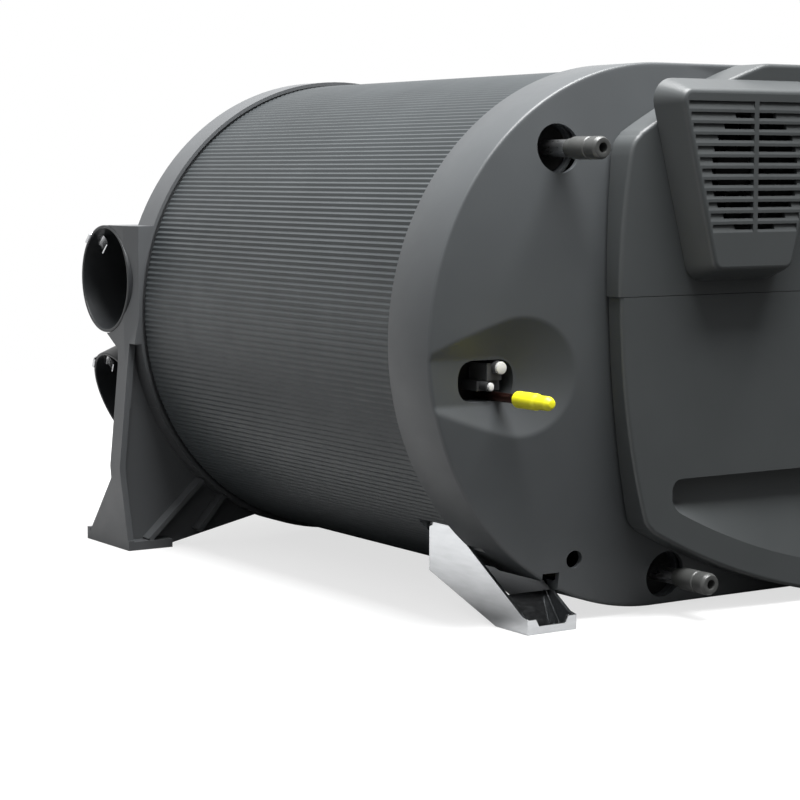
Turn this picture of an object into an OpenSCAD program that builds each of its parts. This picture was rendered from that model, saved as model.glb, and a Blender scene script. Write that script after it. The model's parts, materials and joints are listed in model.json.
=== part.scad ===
// Caravan water heater: a ribbed drum on its side, with a warm air manifold and
// four duct sockets at the rear, and an oval burner head with two covers in front.
// X runs along the drum axis towards the covers, Z is up and Z = 0 is the floor.
// The origin lies on the floor, midway between the screw holes of the rear feet.

/* [Drum] */
// Outer radius of the ribbed drum casing
drum_r = 146; // [142:0.5:150]
// Wall of the drum casing
drum_wall = 4.5; // [4:0.5:6]
// Length of casing between the rear frame and the end cap
drum_len = 291; // [280:1:310]
// Number of grooves along the casing
groove_count = 280; // [140:20:280]
// Depth of a casing groove
groove_depth = 0.8; // [0.4:0.1:1.2]
// Width of a casing groove
groove_w = 1.4; // [0.8:0.1:1.6]
// Height of the end rings above the floor
floor_gap = 3; // [2:0.5:8]

/* [Rear frame] */
// Step from the casing up to the frame ring and the end cap band
ring_proud = 2.5; // [2:0.25:4]
// Width of the frame ring along the drum
ring_w = 22; // [20:1:26]
// Radial thickness of the frame ring
ring_t = 8.5; // [7.5:0.5:10]
// Depth to which the casing sits in the frame ring
rear_lap = 3; // [2:0.5:3.5]
// Wall of the legs
leg_wall = 4; // [3:0.5:5]
// Length of a moulded foot along the drum
foot_l = 62; // [56:1:68]
// Width of a moulded foot
foot_w = 31; // [28:1:34]
// Thickness of a moulded foot
foot_t = 5.5; // [4:0.5:7]
// Rim at the back edge of a moulded foot
foot_rim = 2.5; // [1.5:0.5:6]
// Radius of a screw hole in a moulded foot
foot_hole_r = 3.25; // [2.5:0.25:4]

/* [Air outlets] */
// Bore radius of a duct socket
socket_r = 32.5; // [31:0.5:33]
// Wall of a duct socket
socket_wall = 2; // [1.75:0.25:2.25]
// Length of a duct socket
socket_l = 60; // [56:1:66]
// Distance of the upper socket axis behind the drum casing
upper_back = 39.5; // [39:0.5:41]
// Height of the upper socket axis over the drum axis
upper_z = 21; // [20:0.5:24]
// Distance of the lower socket axis behind the drum casing
lower_back = 63; // [61:0.5:66]
// Drop of the lower socket rim below the drum axis
lower_z = 61; // [60:0.5:64]
// Angle at which the lower sockets point down
lower_tilt = 22; // [18:1:24]
// Length of the bell of the air manifold
bell_len = 113; // [105:1:118]
// Radius of the rear end of the bell
bell_end_r = 72; // [68:1:76]
// Wall of the bell
bell_wall = 3.5; // [3:0.25:4]

/* [Burner head] */
// Width of the end cap band along the drum
cap_band = 39.5; // [38:0.5:44]
// Distance between the two round ends of the oval end cap
cap_stretch = 142.5; // [130:0.5:160]
// Wall of the end cap
cap_wall = 4; // [3.5:0.25:4.5]
// Depth to which the casing sits in the end cap
front_lap = 6; // [4:0.5:7]
// Rise of the domed face over its rim
dome_rise = 14; // [12:0.5:16]
// Height of the covers over the rim of the face
cover_h = 25.5; // [24:0.5:28]
// Wall of the covers
cover_wall = 3; // [2.5:0.25:3.5]
// Rounding of the front edges of the covers
cover_round = 5; // [4:0.5:6]
// Height of the seam between the covers over the drum axis
seam_z = 24; // [22:0.5:26]

/* [Intake grille] */
// Height of the grille housing over the covers
grille_h = 18; // [15:0.5:20]
// Half width of the grille opening
grille_r = 30; // [28:0.5:31]
// Pitch of the grille slats
slat_pitch = 5.9; // [5.4:0.1:6.4]
// Height of a slot between slats
slot_h = 2.9; // [2.5:0.1:3.2]
// Width of the upright grille rib
grille_rib = 3.1; // [2.5:0.1:4]

/* [Front feet] */
// Sheet thickness of the metal feet
sheet = 2; // [1.5:0.25:2.5]
// Width of a metal foot
metal_w = 32; // [28:1:36]
// Distance of the outer flange from the centre of the round end
metal_y = 98; // [96:0.5:100]
// Radius of the screw hole in a metal foot
metal_hole_r = 3.25; // [2.5:0.25:4]

/* [Connections] */
// Radius of the water pipes
pipe_r = 4.5; // [4:0.25:5]
// Radius of the water connectors
connector_r = 6; // [5.75:0.25:7]
// Length of a water connector
connector_l = 28; // [24:1:34]
// Reach of the water connectors past the rim of the face
connector_reach = 42; // [38:1:46]
// Radius of the fuel pipe
fuel_r = 2.5; // [2:0.25:2.75]
// Outer radius of the exhaust pipe
exhaust_r = 12; // [11:0.5:12.5]
// Outer radius of the combustion air stub
intake_r = 15; // [14:0.5:16]

/* [Inner parts] */
// Thickness of the insulation between the water tank and the casing
insulation_t = 4.9; // [4.9:0.1:8]
// Radius of the bore through the water tank
tank_bore = 80; // [76:0.5:82]
// Sheet thickness of the water tank
tank_sheet = 1.5; // [1:0.25:2]
// Outer radius of the heat exchanger tube
exchanger_r = 60; // [58:0.5:62]
// Wall of the heat exchanger tube
exchanger_wall = 6; // [5:0.5:7]
// Number of heat exchanger fins
fin_count = 28; // [20:2:32]
// Thickness of a heat exchanger fin
fin_t = 2.5; // [2:0.25:3]
// Radius of the burner tube
burner_r = 40; // [38:0.5:42]
// Number of blades on the circulation fan
blade_count = 9; // [7:1:11]
// Radius of the combustion fan wheel
blower_r = 34; // [32:0.5:36]
// Number of vanes on the combustion fan wheel
vane_count = 20; // [14:2:24]
// Radius of the fan shafts
shaft_r = 2; // [1.5:0.25:2.5]

/* [Hidden] */
$fn = 96;

// Clearance between pieces that seat in each other
seat = 0.3;
// Running clearance of a shaft in its bearing
run = 0.05;
// Overshoot of a cut past a face
cut = 1;
// Overlap that joins the shapes of one piece
root = 1;
// Half length of a cut through the end face
deep = 20;
// Thickness of a layer that only shapes a rounded edge
film = 0.02;

// Main stations, in the drum's own frame: X = 0 where the casing meets the rear frame
ring_r = drum_r + ring_proud;
axis_height = ring_r + floor_gap;
drum_in = drum_r - drum_wall;
tank_r = drum_in - insulation_t - 2 * seat;
foot_x0 = -66;
foot_hole_x = foot_x0 + foot_l / 2;
cap_x = drum_len;
face_x = cap_x + cap_band;
cover_x = face_x + cover_h;
grille_x = cover_x + grille_h;
ring_in = ring_r - ring_t;
dome_ball = (ring_r * ring_r + dome_rise * dome_rise) / (2 * dome_rise);
// Half size of a block that divides the covers
wide = 2 * ring_r + cap_stretch;
// Place on the round face, by its distance from the rim and its angle
function on_face(inset, turn) = (ring_r - inset) * [cos(turn), sin(turn)];

// Rear legs, at the near side: height over the drum axis and distance past the ring
leg_top = [0, 0];
leg_hip = [-16, 3];
leg_knee = [-axis_height + 53.5, 11];
leg_sole = [-axis_height, 7];
flare_z = -axis_height + 45.5;
foot_y = ring_r + leg_sole[1];
foot_hole_y = foot_y - foot_w / 2;
web_toe_y = foot_y - foot_w;
web_end = [-foot_y + 97.5, -axis_height + 14.5];
web_turn = 60;
web_x = -14;
foot_lip = 5;
gusset_h = 26;
rib_h = 9;
rib_t = 3;
rib_long = [[-foot_y + 15.5, -axis_height + 5.5], [-foot_y + 54.5, -axis_height + 41.5]];
rib_short = [[-foot_y + 51.5, -axis_height + 8.5], [-foot_y + 70.5, -axis_height + 30.5]];

// Socket seats
socket_out = socket_r + socket_wall;
upper_rim_out = 5;
lower_rim_in = 18.5;
upper_rim_y = ring_r + upper_rim_out;
lower_rim_y = ring_r - lower_rim_in;
bridge_x = -42;
bridge_slope_x = -12;
bridge_top = upper_z + socket_out;
bridge_low = [-44, -52, -60];
bridge_foot_x = [-22, -18];
bridge_y = upper_rim_y - 0.5;
clip_w = 9;
clip_t = 0.8;
clip_l = 9;
clip_turn = 41;

// Bell of the manifold, the lip of the frame under its flange, and the screws
bell_x0 = -ring_w - bell_len;
bell_bevel = 14;
bell_bevel_l = 12;
bell_flange_w = 10.7;
bell_flange_t = 6;
bell_top_r = ring_in - seat - bell_flange_w;
bell_x1 = -ring_w + bell_flange_t;
lip_t = 4;
lip_x0 = bell_x1 + seat;
lip_x1 = lip_x0 + lip_t;
screw_count = 6;
screw_turn = 30;
screw_r = 2;
screw_head_r = 4;
screw_head_h = 2.4;
screw_pcr = ring_in - seat - bell_flange_w / 2;
screw_x0 = -ring_w - seat;

// Metal feet: stations along the drum and heights over the floor
metal_back = face_x - 75.5;
metal_tip = face_x + 17.5;
metal_heel = face_x - 11.5;
metal_h = 49.5;
metal_lip_h = 8.2;
metal_sill_h = 4.4;
metal_ear_w = 5.5;
metal_ear_slope = 2;
metal_side = [
    [metal_back, 21], [metal_back, 47], [metal_back + 3, metal_h], [metal_back + 18, metal_h - 0.5],
    [metal_back + 32, 43], [metal_tip - 5, metal_lip_h + 1], [metal_tip, metal_lip_h], [metal_tip, 0],
    [metal_heel, 0]
];
metal_web = [
    [metal_heel + 4.5, 17], [metal_tip - 12.5, sheet], [metal_tip, sheet],
    [metal_tip, 0], [metal_tip - 13.5, 0], [metal_heel + 2.5, 17]
];
metal_lip = [
    [0, 0], [metal_w, 0], [metal_w, metal_lip_h], [metal_w - metal_ear_w, metal_lip_h],
    [metal_w - metal_ear_w - metal_ear_slope, metal_sill_h],
    [metal_ear_w + metal_ear_slope, metal_sill_h], [metal_ear_w, metal_lip_h], [0, metal_lip_h]
];
metal_hole_in = 7;
inner_flange_y = -metal_y + metal_w - sheet;
inner_flange_h = 27;
flange_slot_reach = cap_band - 13.5;
flange_slot_x = face_x - flange_slot_reach;
rim_notch_w = 8;

// Pocket for the plugs in the end face, from the drum axis
pocket_in = 43;
pocket_y = -ring_r + pocket_in;
pocket_z = -18.5;
pocket_floor_r = 12.2;
pocket_mouth_r = 34.2;
pocket_depth = 1;
pocket_rise = 9;
pocket_wall = 2.5;
pocket_over = 1.6;
pocket_run = 4;
pocket_back_t = 8;
port_offset = 7;
port_y = pocket_y - port_offset;
pocket_back = face_x - pocket_depth - pocket_wall;
port_w = 35;
port_h = 22;
port_depth = 15;
port_sleeve = 2;
drain_hole = on_face(18.4, 244);
drain_hole_r = 4.9;
opening_inset = 12;
dome_edge = 0.5;
dome_sink = 5;

// Plugs in the port
power_at = [port_y + 6.5, pocket_z + 4.4];
bus_at = [port_y + 4.7, pocket_z - 3];
power_half = [4.6, 4.5];
bus_half = [7.2, 2.6];
power_x1 = face_x - 2.5;
bus_x1 = face_x - 5.5;
// Ends of the plugs, from the middle of each plug
power_tip = [1.4, 2.2];
bus_tip = [-3.2, 0];
power_tip_r = 3.6;
bus_tip_r = 2.5;
plug_tip_x = face_x + 0.5;
plug_in = 4;
plug_x0 = pocket_back - port_depth - plug_in;
seal_in = 0.3;
seal_t = 1.7;
block_l = 7;
block_rim = 1.5;

// Water connections and fuel pipe, from the drum axis
hot_at = on_face(24.8, 124.5);
cold_at = on_face(17.3, -87.4);
well_r = 13;
pipe_wall = 1;
pipe_lap = 8;
grommet_x = face_x - 12;
grommet_t = 5;
sensor_at = on_face(40.8, 158.2);
sensor_r = 4;
sensor_l = 12;
fuel_at = [port_y + 7.5, pocket_z - 8.5];
fuel_bend = 10;
fuel_end = 15;
fuel_offset = 4;
fuel_lap = 6;
cap_skin = 5;
cap_step_x = 17;
fuel_cap_x = face_x + 17;
fuel_cap_l = 30;
fuel_cap_r = 4.4;

// Cover outlines
cover_side_r = 430;
cover_side_in = 104.5;
cover_side_y = -ring_r + cover_side_in;
cover_side_z = 25;
cover_low_r = 420;
cover_low_sag = 5.7;
cover_low_run = 37.1;
cover_low_at = [cap_stretch + cover_low_run, cover_low_r - ring_r - cover_low_sag];
cover_top_lift = 12;
cover_corner = 12;
cover_inset = 1.5;
seam_step = 1.2;
grip_z = -ring_r + 73.5;
grip_low_z = -ring_r + 24;
grip_depth = 9;
grip_y = [cover_side_y + 36, cover_side_y + 194];
grip_rim = 17;
grip_tilt = 14;
grip_corner = 6;

// Grille housing
grille_y = cover_side_y + 76;
grille_z = ring_r - 58.5;
grille_oval = 4.5;
housing_low_z = grille_z - 51.5;
housing_top_z = grille_z + 42;
housing_low_w = 52;
housing_top_w = 102;
housing_corner = 5;
housing_draft = 7;
housing_wall = 3;
housing_edge = 2;
housing_bevel = 1;

// Circulation fan
fan_gap = 1.5;
fan_r = grille_r - 1;
fan_hub_r = 12;
fan_w = 16;
fan_x1 = cover_x - 1;
fan_x0 = fan_x1 - fan_w;
shroud_in = fan_r + fan_gap;
shroud_wall = 2.5;
shroud_out = shroud_in + shroud_wall;
shroud_x0 = fan_x0 - 6;
shroud_lap = 2;
spider_t = 4;
spider_w = 3;
spider_arms = 3;
motor_r = 14;
motor_l = 24;
motor_x1 = fan_x0 - fan_gap;
shaft_reach = 8;
blade_turn = 38;
blade_t = 2;
blade_root_w = 12;
blade_tip = [-8, 5];
blade_reach = [0.9, 0.97];

// Combustion blower in the overhang of the burner head
blower_in = 83;
blower_y = cap_stretch + ring_r - blower_in;
blower_z = -42;
blower_x0 = cap_x + cap_wall + seat;
blower_w = 34;
blower_x1 = blower_x0 + blower_w;
blower_wall = 2.5;
blower_scroll = 12;
blower_out = blower_r + blower_scroll;
duct_r = 13;
duct_wall = 2;
duct_sleeve = 3;
duct_lap = 8;
duct_stop = 2;
duct_reach = 20;
duct_end_y = blower_y - duct_reach;
duct_x = blower_x0 + blower_w / 2;
duct_z = -20;
stub_wall = 2;
stub_l = 36;
stub_seat = 2;
collar_h = 1.5;
collar_t = 2;
lid_t = 2;
lid_hole_r = shaft_r + 3;
lid_x0 = blower_x1 + seat;
blower_motor_x0 = lid_x0 + lid_t + seat;
blower_motor_r = 20;
blower_motor_l = 16;
wheel_x0 = blower_x0 + 7;
wheel_x1 = blower_x1 - 4;
wheel_disc = 2;
wheel_ring = 1.5;
wheel_hub_r = 8;
wheel_hub_x = wheel_x0 + 8;
vane_w = 8;
vane_lap = 0.2;
vane_t = 1.2;
vane_turn = 25;

// Burner and exchanger stations
tank_x0 = 15;
tank_x1 = cap_x - 16;
exchanger_x0 = 25;
exchanger_x1 = tank_x1 + 8;
burner_x0 = 70;
flange_t = 6.5;
flange_rim = 12;
flange_r = tank_bore - flange_rim;
burner_sheet = 2;
spigot_l = 20;
spigot_wall = 4;
spigot_end = 4;
flange_x1 = exchanger_x1 + seat + flange_t;
air_box_r = 33;
air_box_x1 = duct_x + duct_r + 4;
probe_at = 14;
probe_r = 4;
probe_nut_r = 5.5;
probe_nut_l = 8;
probe_hole_r = 6;
probe_in = 26;
probe_out = 34;
exhaust_z = 34;
exhaust_y0 = 34;
exhaust_y1 = blower_y;
exhaust_bend = 20;
exhaust_x = flange_x1 + exhaust_r + 6;
exhaust_wall = 1;
exhaust_bore = 4;

// Control board
board_y = [blower_y - 104, blower_y + 4];
board_z = [ring_r - 88.5, ring_r - 32.5];
board_x = face_x + 8;
board_t = 1.6;
post_r = 3;
post_inset = 6;
relay = [[14, 44], [12, 30], 12];
chip = [[68, 92], [10, 22], 9];
coil_at = [58, 38];
coil_pitch = 14;
coil_count = 3;
coil_r = 5;
coil_h = 11;

// Shapes along and across the drum axis
module on_axis() { translate([-foot_hole_x, 0, axis_height]) children(); }
module lathe_x() { rotate([0, 90, 0]) rotate_extrude($fn = 144) children(); }
module rod_x(r, x0, x1) { translate([x0, 0, 0]) rotate([0, 90, 0]) cylinder(r = r, h = x1 - x0); }
module tube_x(ro, ri, x0, x1) {
    difference() {
        rod_x(ro, x0, x1);
        rod_x(ri, x0 - cut, x1 + cut);
    }
}
module rod_y(r, y0, y1) { translate([0, y1, 0]) rotate([90, 0, 0]) cylinder(r = r, h = y1 - y0); }
module plate_yz(x0, x1) { translate([x0, 0, 0]) rotate([90, 0, 90]) linear_extrude(x1 - x0) children(); }
module plate_xz(y0, y1) { translate([0, y1, 0]) rotate([90, 0, 0]) linear_extrude(y1 - y0) children(); }
module block(x, y, z) {
    translate([x[0], y[0], z[0]]) cube([x[1] - x[0], y[1] - y[0], z[1] - z[0]]);
}
module at_yz(p) { translate([0, p[0], p[1]]) children(); }
module both_sides() {
    children();
    mirror([0, 1, 0]) children();
}

// Drum casing with its fine grooves
module casing_section() {
    difference() {
        circle(drum_r);
        circle(drum_in);
        for (i = [0 : groove_count - 1])
            rotate(i * 360 / groove_count)
                translate([drum_r - groove_depth, -groove_w / 2])
                    square([groove_depth + cut, groove_w]);
    }
}

module drum_casing() {
    color("dimgray") on_axis() difference() {
        plate_yz(-rear_lap, drum_len + front_lap) casing_section();
        foot_slots();
    }
}

// Rear frame: ring, two legs with ribbed webs and moulded feet
module leg_band(wall) {
    polygon([
        [-ring_r - leg_top[1], leg_top[0]], [-ring_r - leg_hip[1], leg_hip[0]],
        [-ring_r - leg_knee[1], leg_knee[0]], [-foot_y, -axis_height],
        [-foot_y + wall, -axis_height], [-ring_r - leg_knee[1] + wall, leg_knee[0]],
        [-ring_r - leg_hip[1] + wall, leg_hip[0]], [-ring_in - root, leg_top[0]]
    ]);
}

module leg_web() {
    polygon([
        [-ring_in - root, leg_top[0]], [-ring_r - leg_hip[1] + root, leg_hip[0]],
        [-ring_r - leg_knee[1] + root, leg_knee[0]], [-foot_y + root, -axis_height],
        [-web_toe_y, -axis_height], web_end, [-ring_in * cos(web_turn), -ring_in * sin(web_turn)]
    ]);
}

module leg_profile() {
    polygon([
        [-ring_w, leg_top[0]], [0, leg_top[0]], [0, flare_z], [foot_x0 + foot_l, -axis_height],
        [foot_x0, -axis_height], [foot_x0 + foot_lip, -axis_height + foot_t], [-ring_w, flare_z]
    ]);
}

module leg_rib(ends) {
    run_by = ends[1] - ends[0];
    translate([web_x, ends[0][0], ends[0][1]]) rotate([atan2(run_by[1], run_by[0]), 0, 0])
        block([-root, rib_h], [0, norm(run_by)], [-rib_t / 2, rib_t / 2]);
}

module leg() {
    intersection() {
        plate_yz(foot_x0, 0) leg_band(leg_wall);
        plate_xz(-2 * ring_r, 0) leg_profile();
    }
    difference() {
        plate_yz(web_x - leg_wall, web_x) leg_web();
        rod_x(ring_in + root, web_x - leg_wall - cut, web_x + cut);
    }
    leg_rib(rib_long);
    leg_rib(rib_short);
    difference() {
        union() {
            block([foot_x0, foot_x0 + foot_l], [-foot_y, -web_toe_y],
                  [-axis_height, -axis_height + foot_t]);
            block([foot_x0, foot_x0 + leg_wall], [-foot_y, -web_toe_y],
                  [-axis_height, -axis_height + foot_t + foot_rim]);
            plate_xz(-web_toe_y - leg_wall, -web_toe_y) polygon([
                [foot_x0, -axis_height], [web_x, -axis_height],
                [web_x, -axis_height + gusset_h], [foot_x0 + leg_wall, -axis_height + foot_t + foot_rim]
            ]);
        }
        translate([foot_hole_x, -foot_hole_y, -axis_height - cut])
            cylinder(r = foot_hole_r, h = foot_t + 2 * cut);
    }
}

// Plate round the upper socket that runs out into the ring and the leg, clear of the lower duct
module socket_bridge() {
    difference() {
        intersection() {
            plate_xz(-bridge_y, -ring_in / 2) polygon([
                [bridge_x, bridge_top], [0, bridge_top], [0, bridge_low[2]], [bridge_foot_x[1], bridge_low[2]],
                [bridge_foot_x[0], bridge_low[1]], [bridge_x, bridge_low[0]]
            ]);
            translate([0, 0, -axis_height]) linear_extrude(2 * axis_height) polygon([
                [bridge_x - cut, -bridge_y], [bridge_slope_x, -bridge_y], [0, -ring_r], [0, 0],
                [bridge_x - cut, 0]
            ]);
        }
        rod_x(ring_in + seat, bridge_x - cut, cut);
        socket_place("lower") rod_y(socket_out + seat, -socket_l, socket_l);
    }
}

module rear_frame() {
    color("gray") on_axis() difference() {
        union() {
            tube_x(ring_r, ring_in, -ring_w, -rear_lap - seat);
            tube_x(ring_r, drum_r + seat, -rear_lap - seat - film, 0);
            tube_x(ring_in + root, bell_top_r - bell_wall, lip_x0, lip_x1);
            both_sides() leg();
            both_sides() socket_bridge();
        }
        rod_x(drum_r + seat, -rear_lap - seat, cut);
        socket_room();
        manifold_lugs() rod_x(screw_r + run, lip_x0 - cut, lip_x1 + cut);
    }
}

// Air manifold: a bell that collects the warm air behind the drum
module bell_outside() {
    lathe_x() polygon([
        [0, bell_x0], [bell_end_r - bell_bevel, bell_x0], [bell_end_r, bell_x0 + bell_bevel_l],
        [bell_top_r, -ring_w], [ring_in - seat, -ring_w], [ring_in - seat, bell_x1], [0, bell_x1]
    ]);
}

module bell_inside() {
    lathe_x() polygon([
        [0, bell_x0 + bell_wall], [bell_end_r - bell_bevel - bell_wall / 2, bell_x0 + bell_wall],
        [bell_end_r - bell_wall, bell_x0 + bell_bevel_l], [bell_top_r - bell_wall, -ring_w],
        [bell_top_r - bell_wall, bell_x1 + cut], [0, bell_x1 + cut]
    ]);
}

module manifold_lugs() {
    for (i = [0 : screw_count - 1])
        rotate([i * 360 / screw_count + screw_turn, 0, 0]) translate([0, screw_pcr, 0])
            children();
}

module air_manifold() {
    color("dimgray") on_axis() difference() {
        bell_outside();
        bell_inside();
        socket_room();
        manifold_lugs() rod_x(screw_r + seat, -ring_w - cut, bell_x1 + cut);
    }
}

module manifold_screws() {
    color("silver") on_axis() manifold_lugs() {
        rod_x(screw_head_r, screw_x0 - screw_head_h, screw_x0);
        rod_x(screw_r, screw_x0 - root, lip_x1);
    }
}

// Duct sockets, with a relief for the spring clip in each rim
module socket_place(level) {
    if (level == "upper")
        translate([-upper_back, -upper_rim_y, upper_z]) children();
    else
        translate([-lower_back, -lower_rim_y, -lower_z]) rotate([lower_tilt, 0, 0]) children();
}

module socket_room() {
    both_sides() for (level = ["upper", "lower"])
        socket_place(level) rod_y(socket_out + seat, -cut, 2 * socket_l);
}

module duct_socket(level) {
    socket_place(level) difference() {
        rod_y(socket_out, 0, socket_l);
        rod_y(socket_r, -cut, socket_l + cut);
        rotate([0, -clip_turn, 0])
            block([-clip_w / 2 - seat, clip_w / 2 + seat], [-cut, clip_l + seat],
                  [socket_r - cut, socket_r + clip_t + 2 * seat]);
    }
}

module duct_clip(level) {
    socket_place(level) rotate([0, -clip_turn, 0]) {
        block([-clip_w / 2, clip_w / 2], [-seat - clip_t, clip_l],
              [socket_r + seat, socket_r + seat + clip_t]);
        block([-clip_w / 2, clip_w / 2], [-seat - clip_t, -seat],
              [socket_r + seat, socket_out + seat + clip_t]);
        block([-clip_w / 2, clip_w / 2], [-seat - clip_t, clip_l],
              [socket_out + seat, socket_out + seat + clip_t]);
    }
}

module duct_socket_near_upper() { color("dimgray") on_axis() duct_socket("upper"); }
module duct_socket_near_lower() { color("dimgray") on_axis() duct_socket("lower"); }
module duct_socket_far_upper() { color("dimgray") on_axis() mirror([0, 1, 0]) duct_socket("upper"); }
module duct_socket_far_lower() { color("dimgray") on_axis() mirror([0, 1, 0]) duct_socket("lower"); }
module duct_clips() {
    color("silver") on_axis() both_sides() {
        duct_clip("upper");
        duct_clip("lower");
    }
}

// Front feet: folded metal channels under the end cap
module foot_side(x_back, top) {
    translate([0, -axis_height]) intersection() {
        polygon(metal_side);
        translate([x_back, 0]) square([metal_tip, top]);
    }
}

module front_foot(x_back) {
    plate_xz(-metal_y, -metal_y + sheet) foot_side(x_back, metal_h);
    plate_xz(inner_flange_y, inner_flange_y + sheet) foot_side(x_back, inner_flange_h);
    plate_yz(metal_tip - sheet, metal_tip) translate([-metal_y, -axis_height]) polygon(metal_lip);
    difference() {
        plate_xz(-metal_y + sheet - film, inner_flange_y + film)
            translate([0, -axis_height]) polygon(metal_web);
        translate([metal_tip - metal_hole_in, -metal_y + metal_w / 2, -axis_height - cut])
            cylinder(r = metal_hole_r, h = sheet + 2 * cut);
    }
}

module front_foot_near() { color("lightgray") on_axis() front_foot(0); }
module front_foot_far() {
    color("lightgray") on_axis() translate([0, cap_stretch, 0]) mirror([0, 1, 0]) front_foot(cap_x + seat);
}

// Slots that take the flanges of the metal feet: open to the outside in the casing, narrow in the band
module foot_slots() {
    block([metal_back - cut, cap_x], [-ring_r, -metal_y + sheet + seat],
          [-axis_height, -axis_height + metal_h + cut]);
    block([cap_x - cut, flange_slot_x], [-metal_y - seat, -metal_y + sheet + seat],
          [-axis_height, -axis_height + metal_h + cut]);
    block([metal_back - cut, face_x + cut], [inner_flange_y - rim_notch_w, inner_flange_y + sheet + seat],
          [-axis_height, -axis_height + inner_flange_h + cut]);
}

// End cap: an oval dish with a domed face
module oval(r) {
    circle(r);
    translate([cap_stretch, 0]) circle(r);
    translate([0, -r]) square([cap_stretch, 2 * r]);
}

module dome(sink) {
    translate([-sink, 0, 0]) intersection() {
        rod_x(ring_r - dome_edge, face_x - dome_sink, face_x + dome_rise + cut);
        translate([face_x + dome_rise - dome_ball, 0, 0]) rotate([0, 90, 0]) sphere(dome_ball, $fn = 240);
    }
}

module pocket_shape(grow) {
    x0 = face_x - pocket_depth - grow;
    rise = pocket_rise * pocket_over;
    flare = (pocket_mouth_r - pocket_floor_r) * pocket_over;
    hull() for (y = [pocket_y, -ring_r - pocket_run])
        at_yz([y, pocket_z]) translate([x0, 0, 0]) rotate([0, 90, 0])
            cylinder(r1 = pocket_floor_r + grow, r2 = pocket_floor_r + grow + flare, h = rise, $fn = 48);
}

module port_outline(grow) {
    for (s = [-1, 1])
        translate([s * (port_w - port_h) / 2, 0]) circle(port_h / 2 + grow);
    square([port_w - port_h, port_h + 2 * grow], center = true);
}

module cap_shell() {
    difference() {
        union() {
            plate_yz(cap_x, face_x) oval(ring_r);
            dome(0);
        }
        plate_yz(cap_x + cap_wall, face_x - cap_wall) oval(ring_r - cap_wall);
        intersection() {
            dome(cap_wall);
            plate_yz(face_x - cap_wall - cut, face_x + dome_rise) circle(ring_r - cap_wall);
        }
    }
}

module end_cap() {
    color("dimgray") on_axis() difference() {
        union() {
            cap_shell();
            intersection() {
                pocket_shape(pocket_wall);
                union() {
                    dome(0);
                    plate_yz(face_x - pocket_back_t, face_x) circle(ring_r - cut);
                }
            }
            at_yz([port_y, pocket_z]) plate_yz(pocket_back - port_depth, pocket_back + root)
                port_outline(port_sleeve);
        }
        rod_x(drum_r + seat, cap_x - cut, cap_x + front_lap + seat);
        rod_x(drum_in, cap_x - cut, cap_x + cap_wall + cut);
        pocket_shape(0);
        at_yz([port_y, pocket_z]) plate_yz(face_x - deep, face_x + deep) port_outline(0);
        at_yz(drain_hole) rod_x(drain_hole_r, face_x - deep, face_x + deep);
        at_yz(hot_at) rod_x(well_r, face_x - deep, face_x + deep);
        at_yz(cold_at) rod_x(well_r, face_x - deep, face_x + deep);
        plate_yz(face_x - deep, face_x + deep) head_opening();
        foot_slots();
        translate([0, cap_stretch, 0]) mirror([0, 1, 0]) foot_slots();
        at_yz([exhaust_y1, exhaust_z]) rod_x(exhaust_r + seat, cap_x - cut, cap_x + cap_wall + cut);
        at_yz([blower_y, blower_z]) rod_x(intake_r + seat, cap_x - cut, cap_x + cap_wall + cut);
    }
}

// Opening in the face behind the covers
module head_opening() { offset(delta = -opening_inset) cover_outline(0); }

// Covers
module cover_outline(grow) {
    offset(r = cover_corner + grow, $fn = 48) offset(delta = -cover_corner) intersection() {
        oval(ring_r - cover_inset);
        translate([cover_side_y + cover_side_r, cover_side_z]) circle(cover_side_r, $fn = 240);
        translate(cover_low_at) circle(cover_low_r, $fn = 240);
        translate([cover_low_at[0], -cover_low_at[1] + cover_top_lift]) circle(cover_low_r, $fn = 240);
    }
}

module cover_form(grow, x0, x1) {
    r = cover_round;
    hull() {
        plate_yz(x0, x1 - r) cover_outline(grow);
        for (a = [30 : 30 : 90])
            plate_yz(x1 - r + r * sin(a) - film, x1 - r + r * sin(a))
                cover_outline(grow - r + r * cos(a));
    }
}

module cover_shell(grow) {
    difference() {
        cover_form(grow, face_x + seat, cover_x);
        cover_form(grow - cover_wall, face_x - cut, cover_x - cover_wall);
        dome(-seat);
    }
}

// Grip recess of the lower cover: deepest under its straight top edge
module grip_outline(grow) {
    offset(r = grip_corner + grow, $fn = 32) offset(delta = -grip_corner) intersection() {
        translate([grip_y[0], grip_low_z]) square([grip_y[1] - grip_y[0], grip_z - grip_low_z]);
        translate(cover_low_at) circle(cover_low_r - grip_rim, $fn = 240);
    }
}

module grip_shape(sink, x1) {
    intersection() {
        plate_yz(cover_x - grip_depth - sink, x1) grip_outline(sink);
        translate([cover_x - sink, 0, grip_low_z - sink]) rotate([0, -grip_tilt, 0])
            block([0, wide], [-wide, wide], [-wide, wide]);
    }
}

module lower_cover() {
    color("dimgray") on_axis() difference() {
        union() {
            intersection() {
                cover_shell(0);
                block([face_x - cut, cover_x + cut], [-wide, wide], [-wide, seam_z - seat / 2]);
            }
            grip_shape(cover_wall, cover_x - root);
        }
        grip_shape(0, cover_x + cut);
    }
}

module upper_cover() {
    color("dimgray") on_axis() difference() {
        intersection() {
            cover_shell(seam_step);
            block([face_x - cut, cover_x + cut], [-wide, wide], [seam_z + seat / 2, wide]);
        }
        at_yz([grille_y, grille_z]) plate_yz(face_x, cover_x + cut)
            grille_oval_outline(shroud_out - grille_r + seat);
    }
}

// Intake grille: a raised housing with slats across an oval opening
module grille_oval_outline(grow) {
    for (s = [-1, 1])
        translate([0, s * grille_oval]) circle(grille_r + grow);
    square([2 * (grille_r + grow), 2 * grille_oval], center = true);
}

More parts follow.
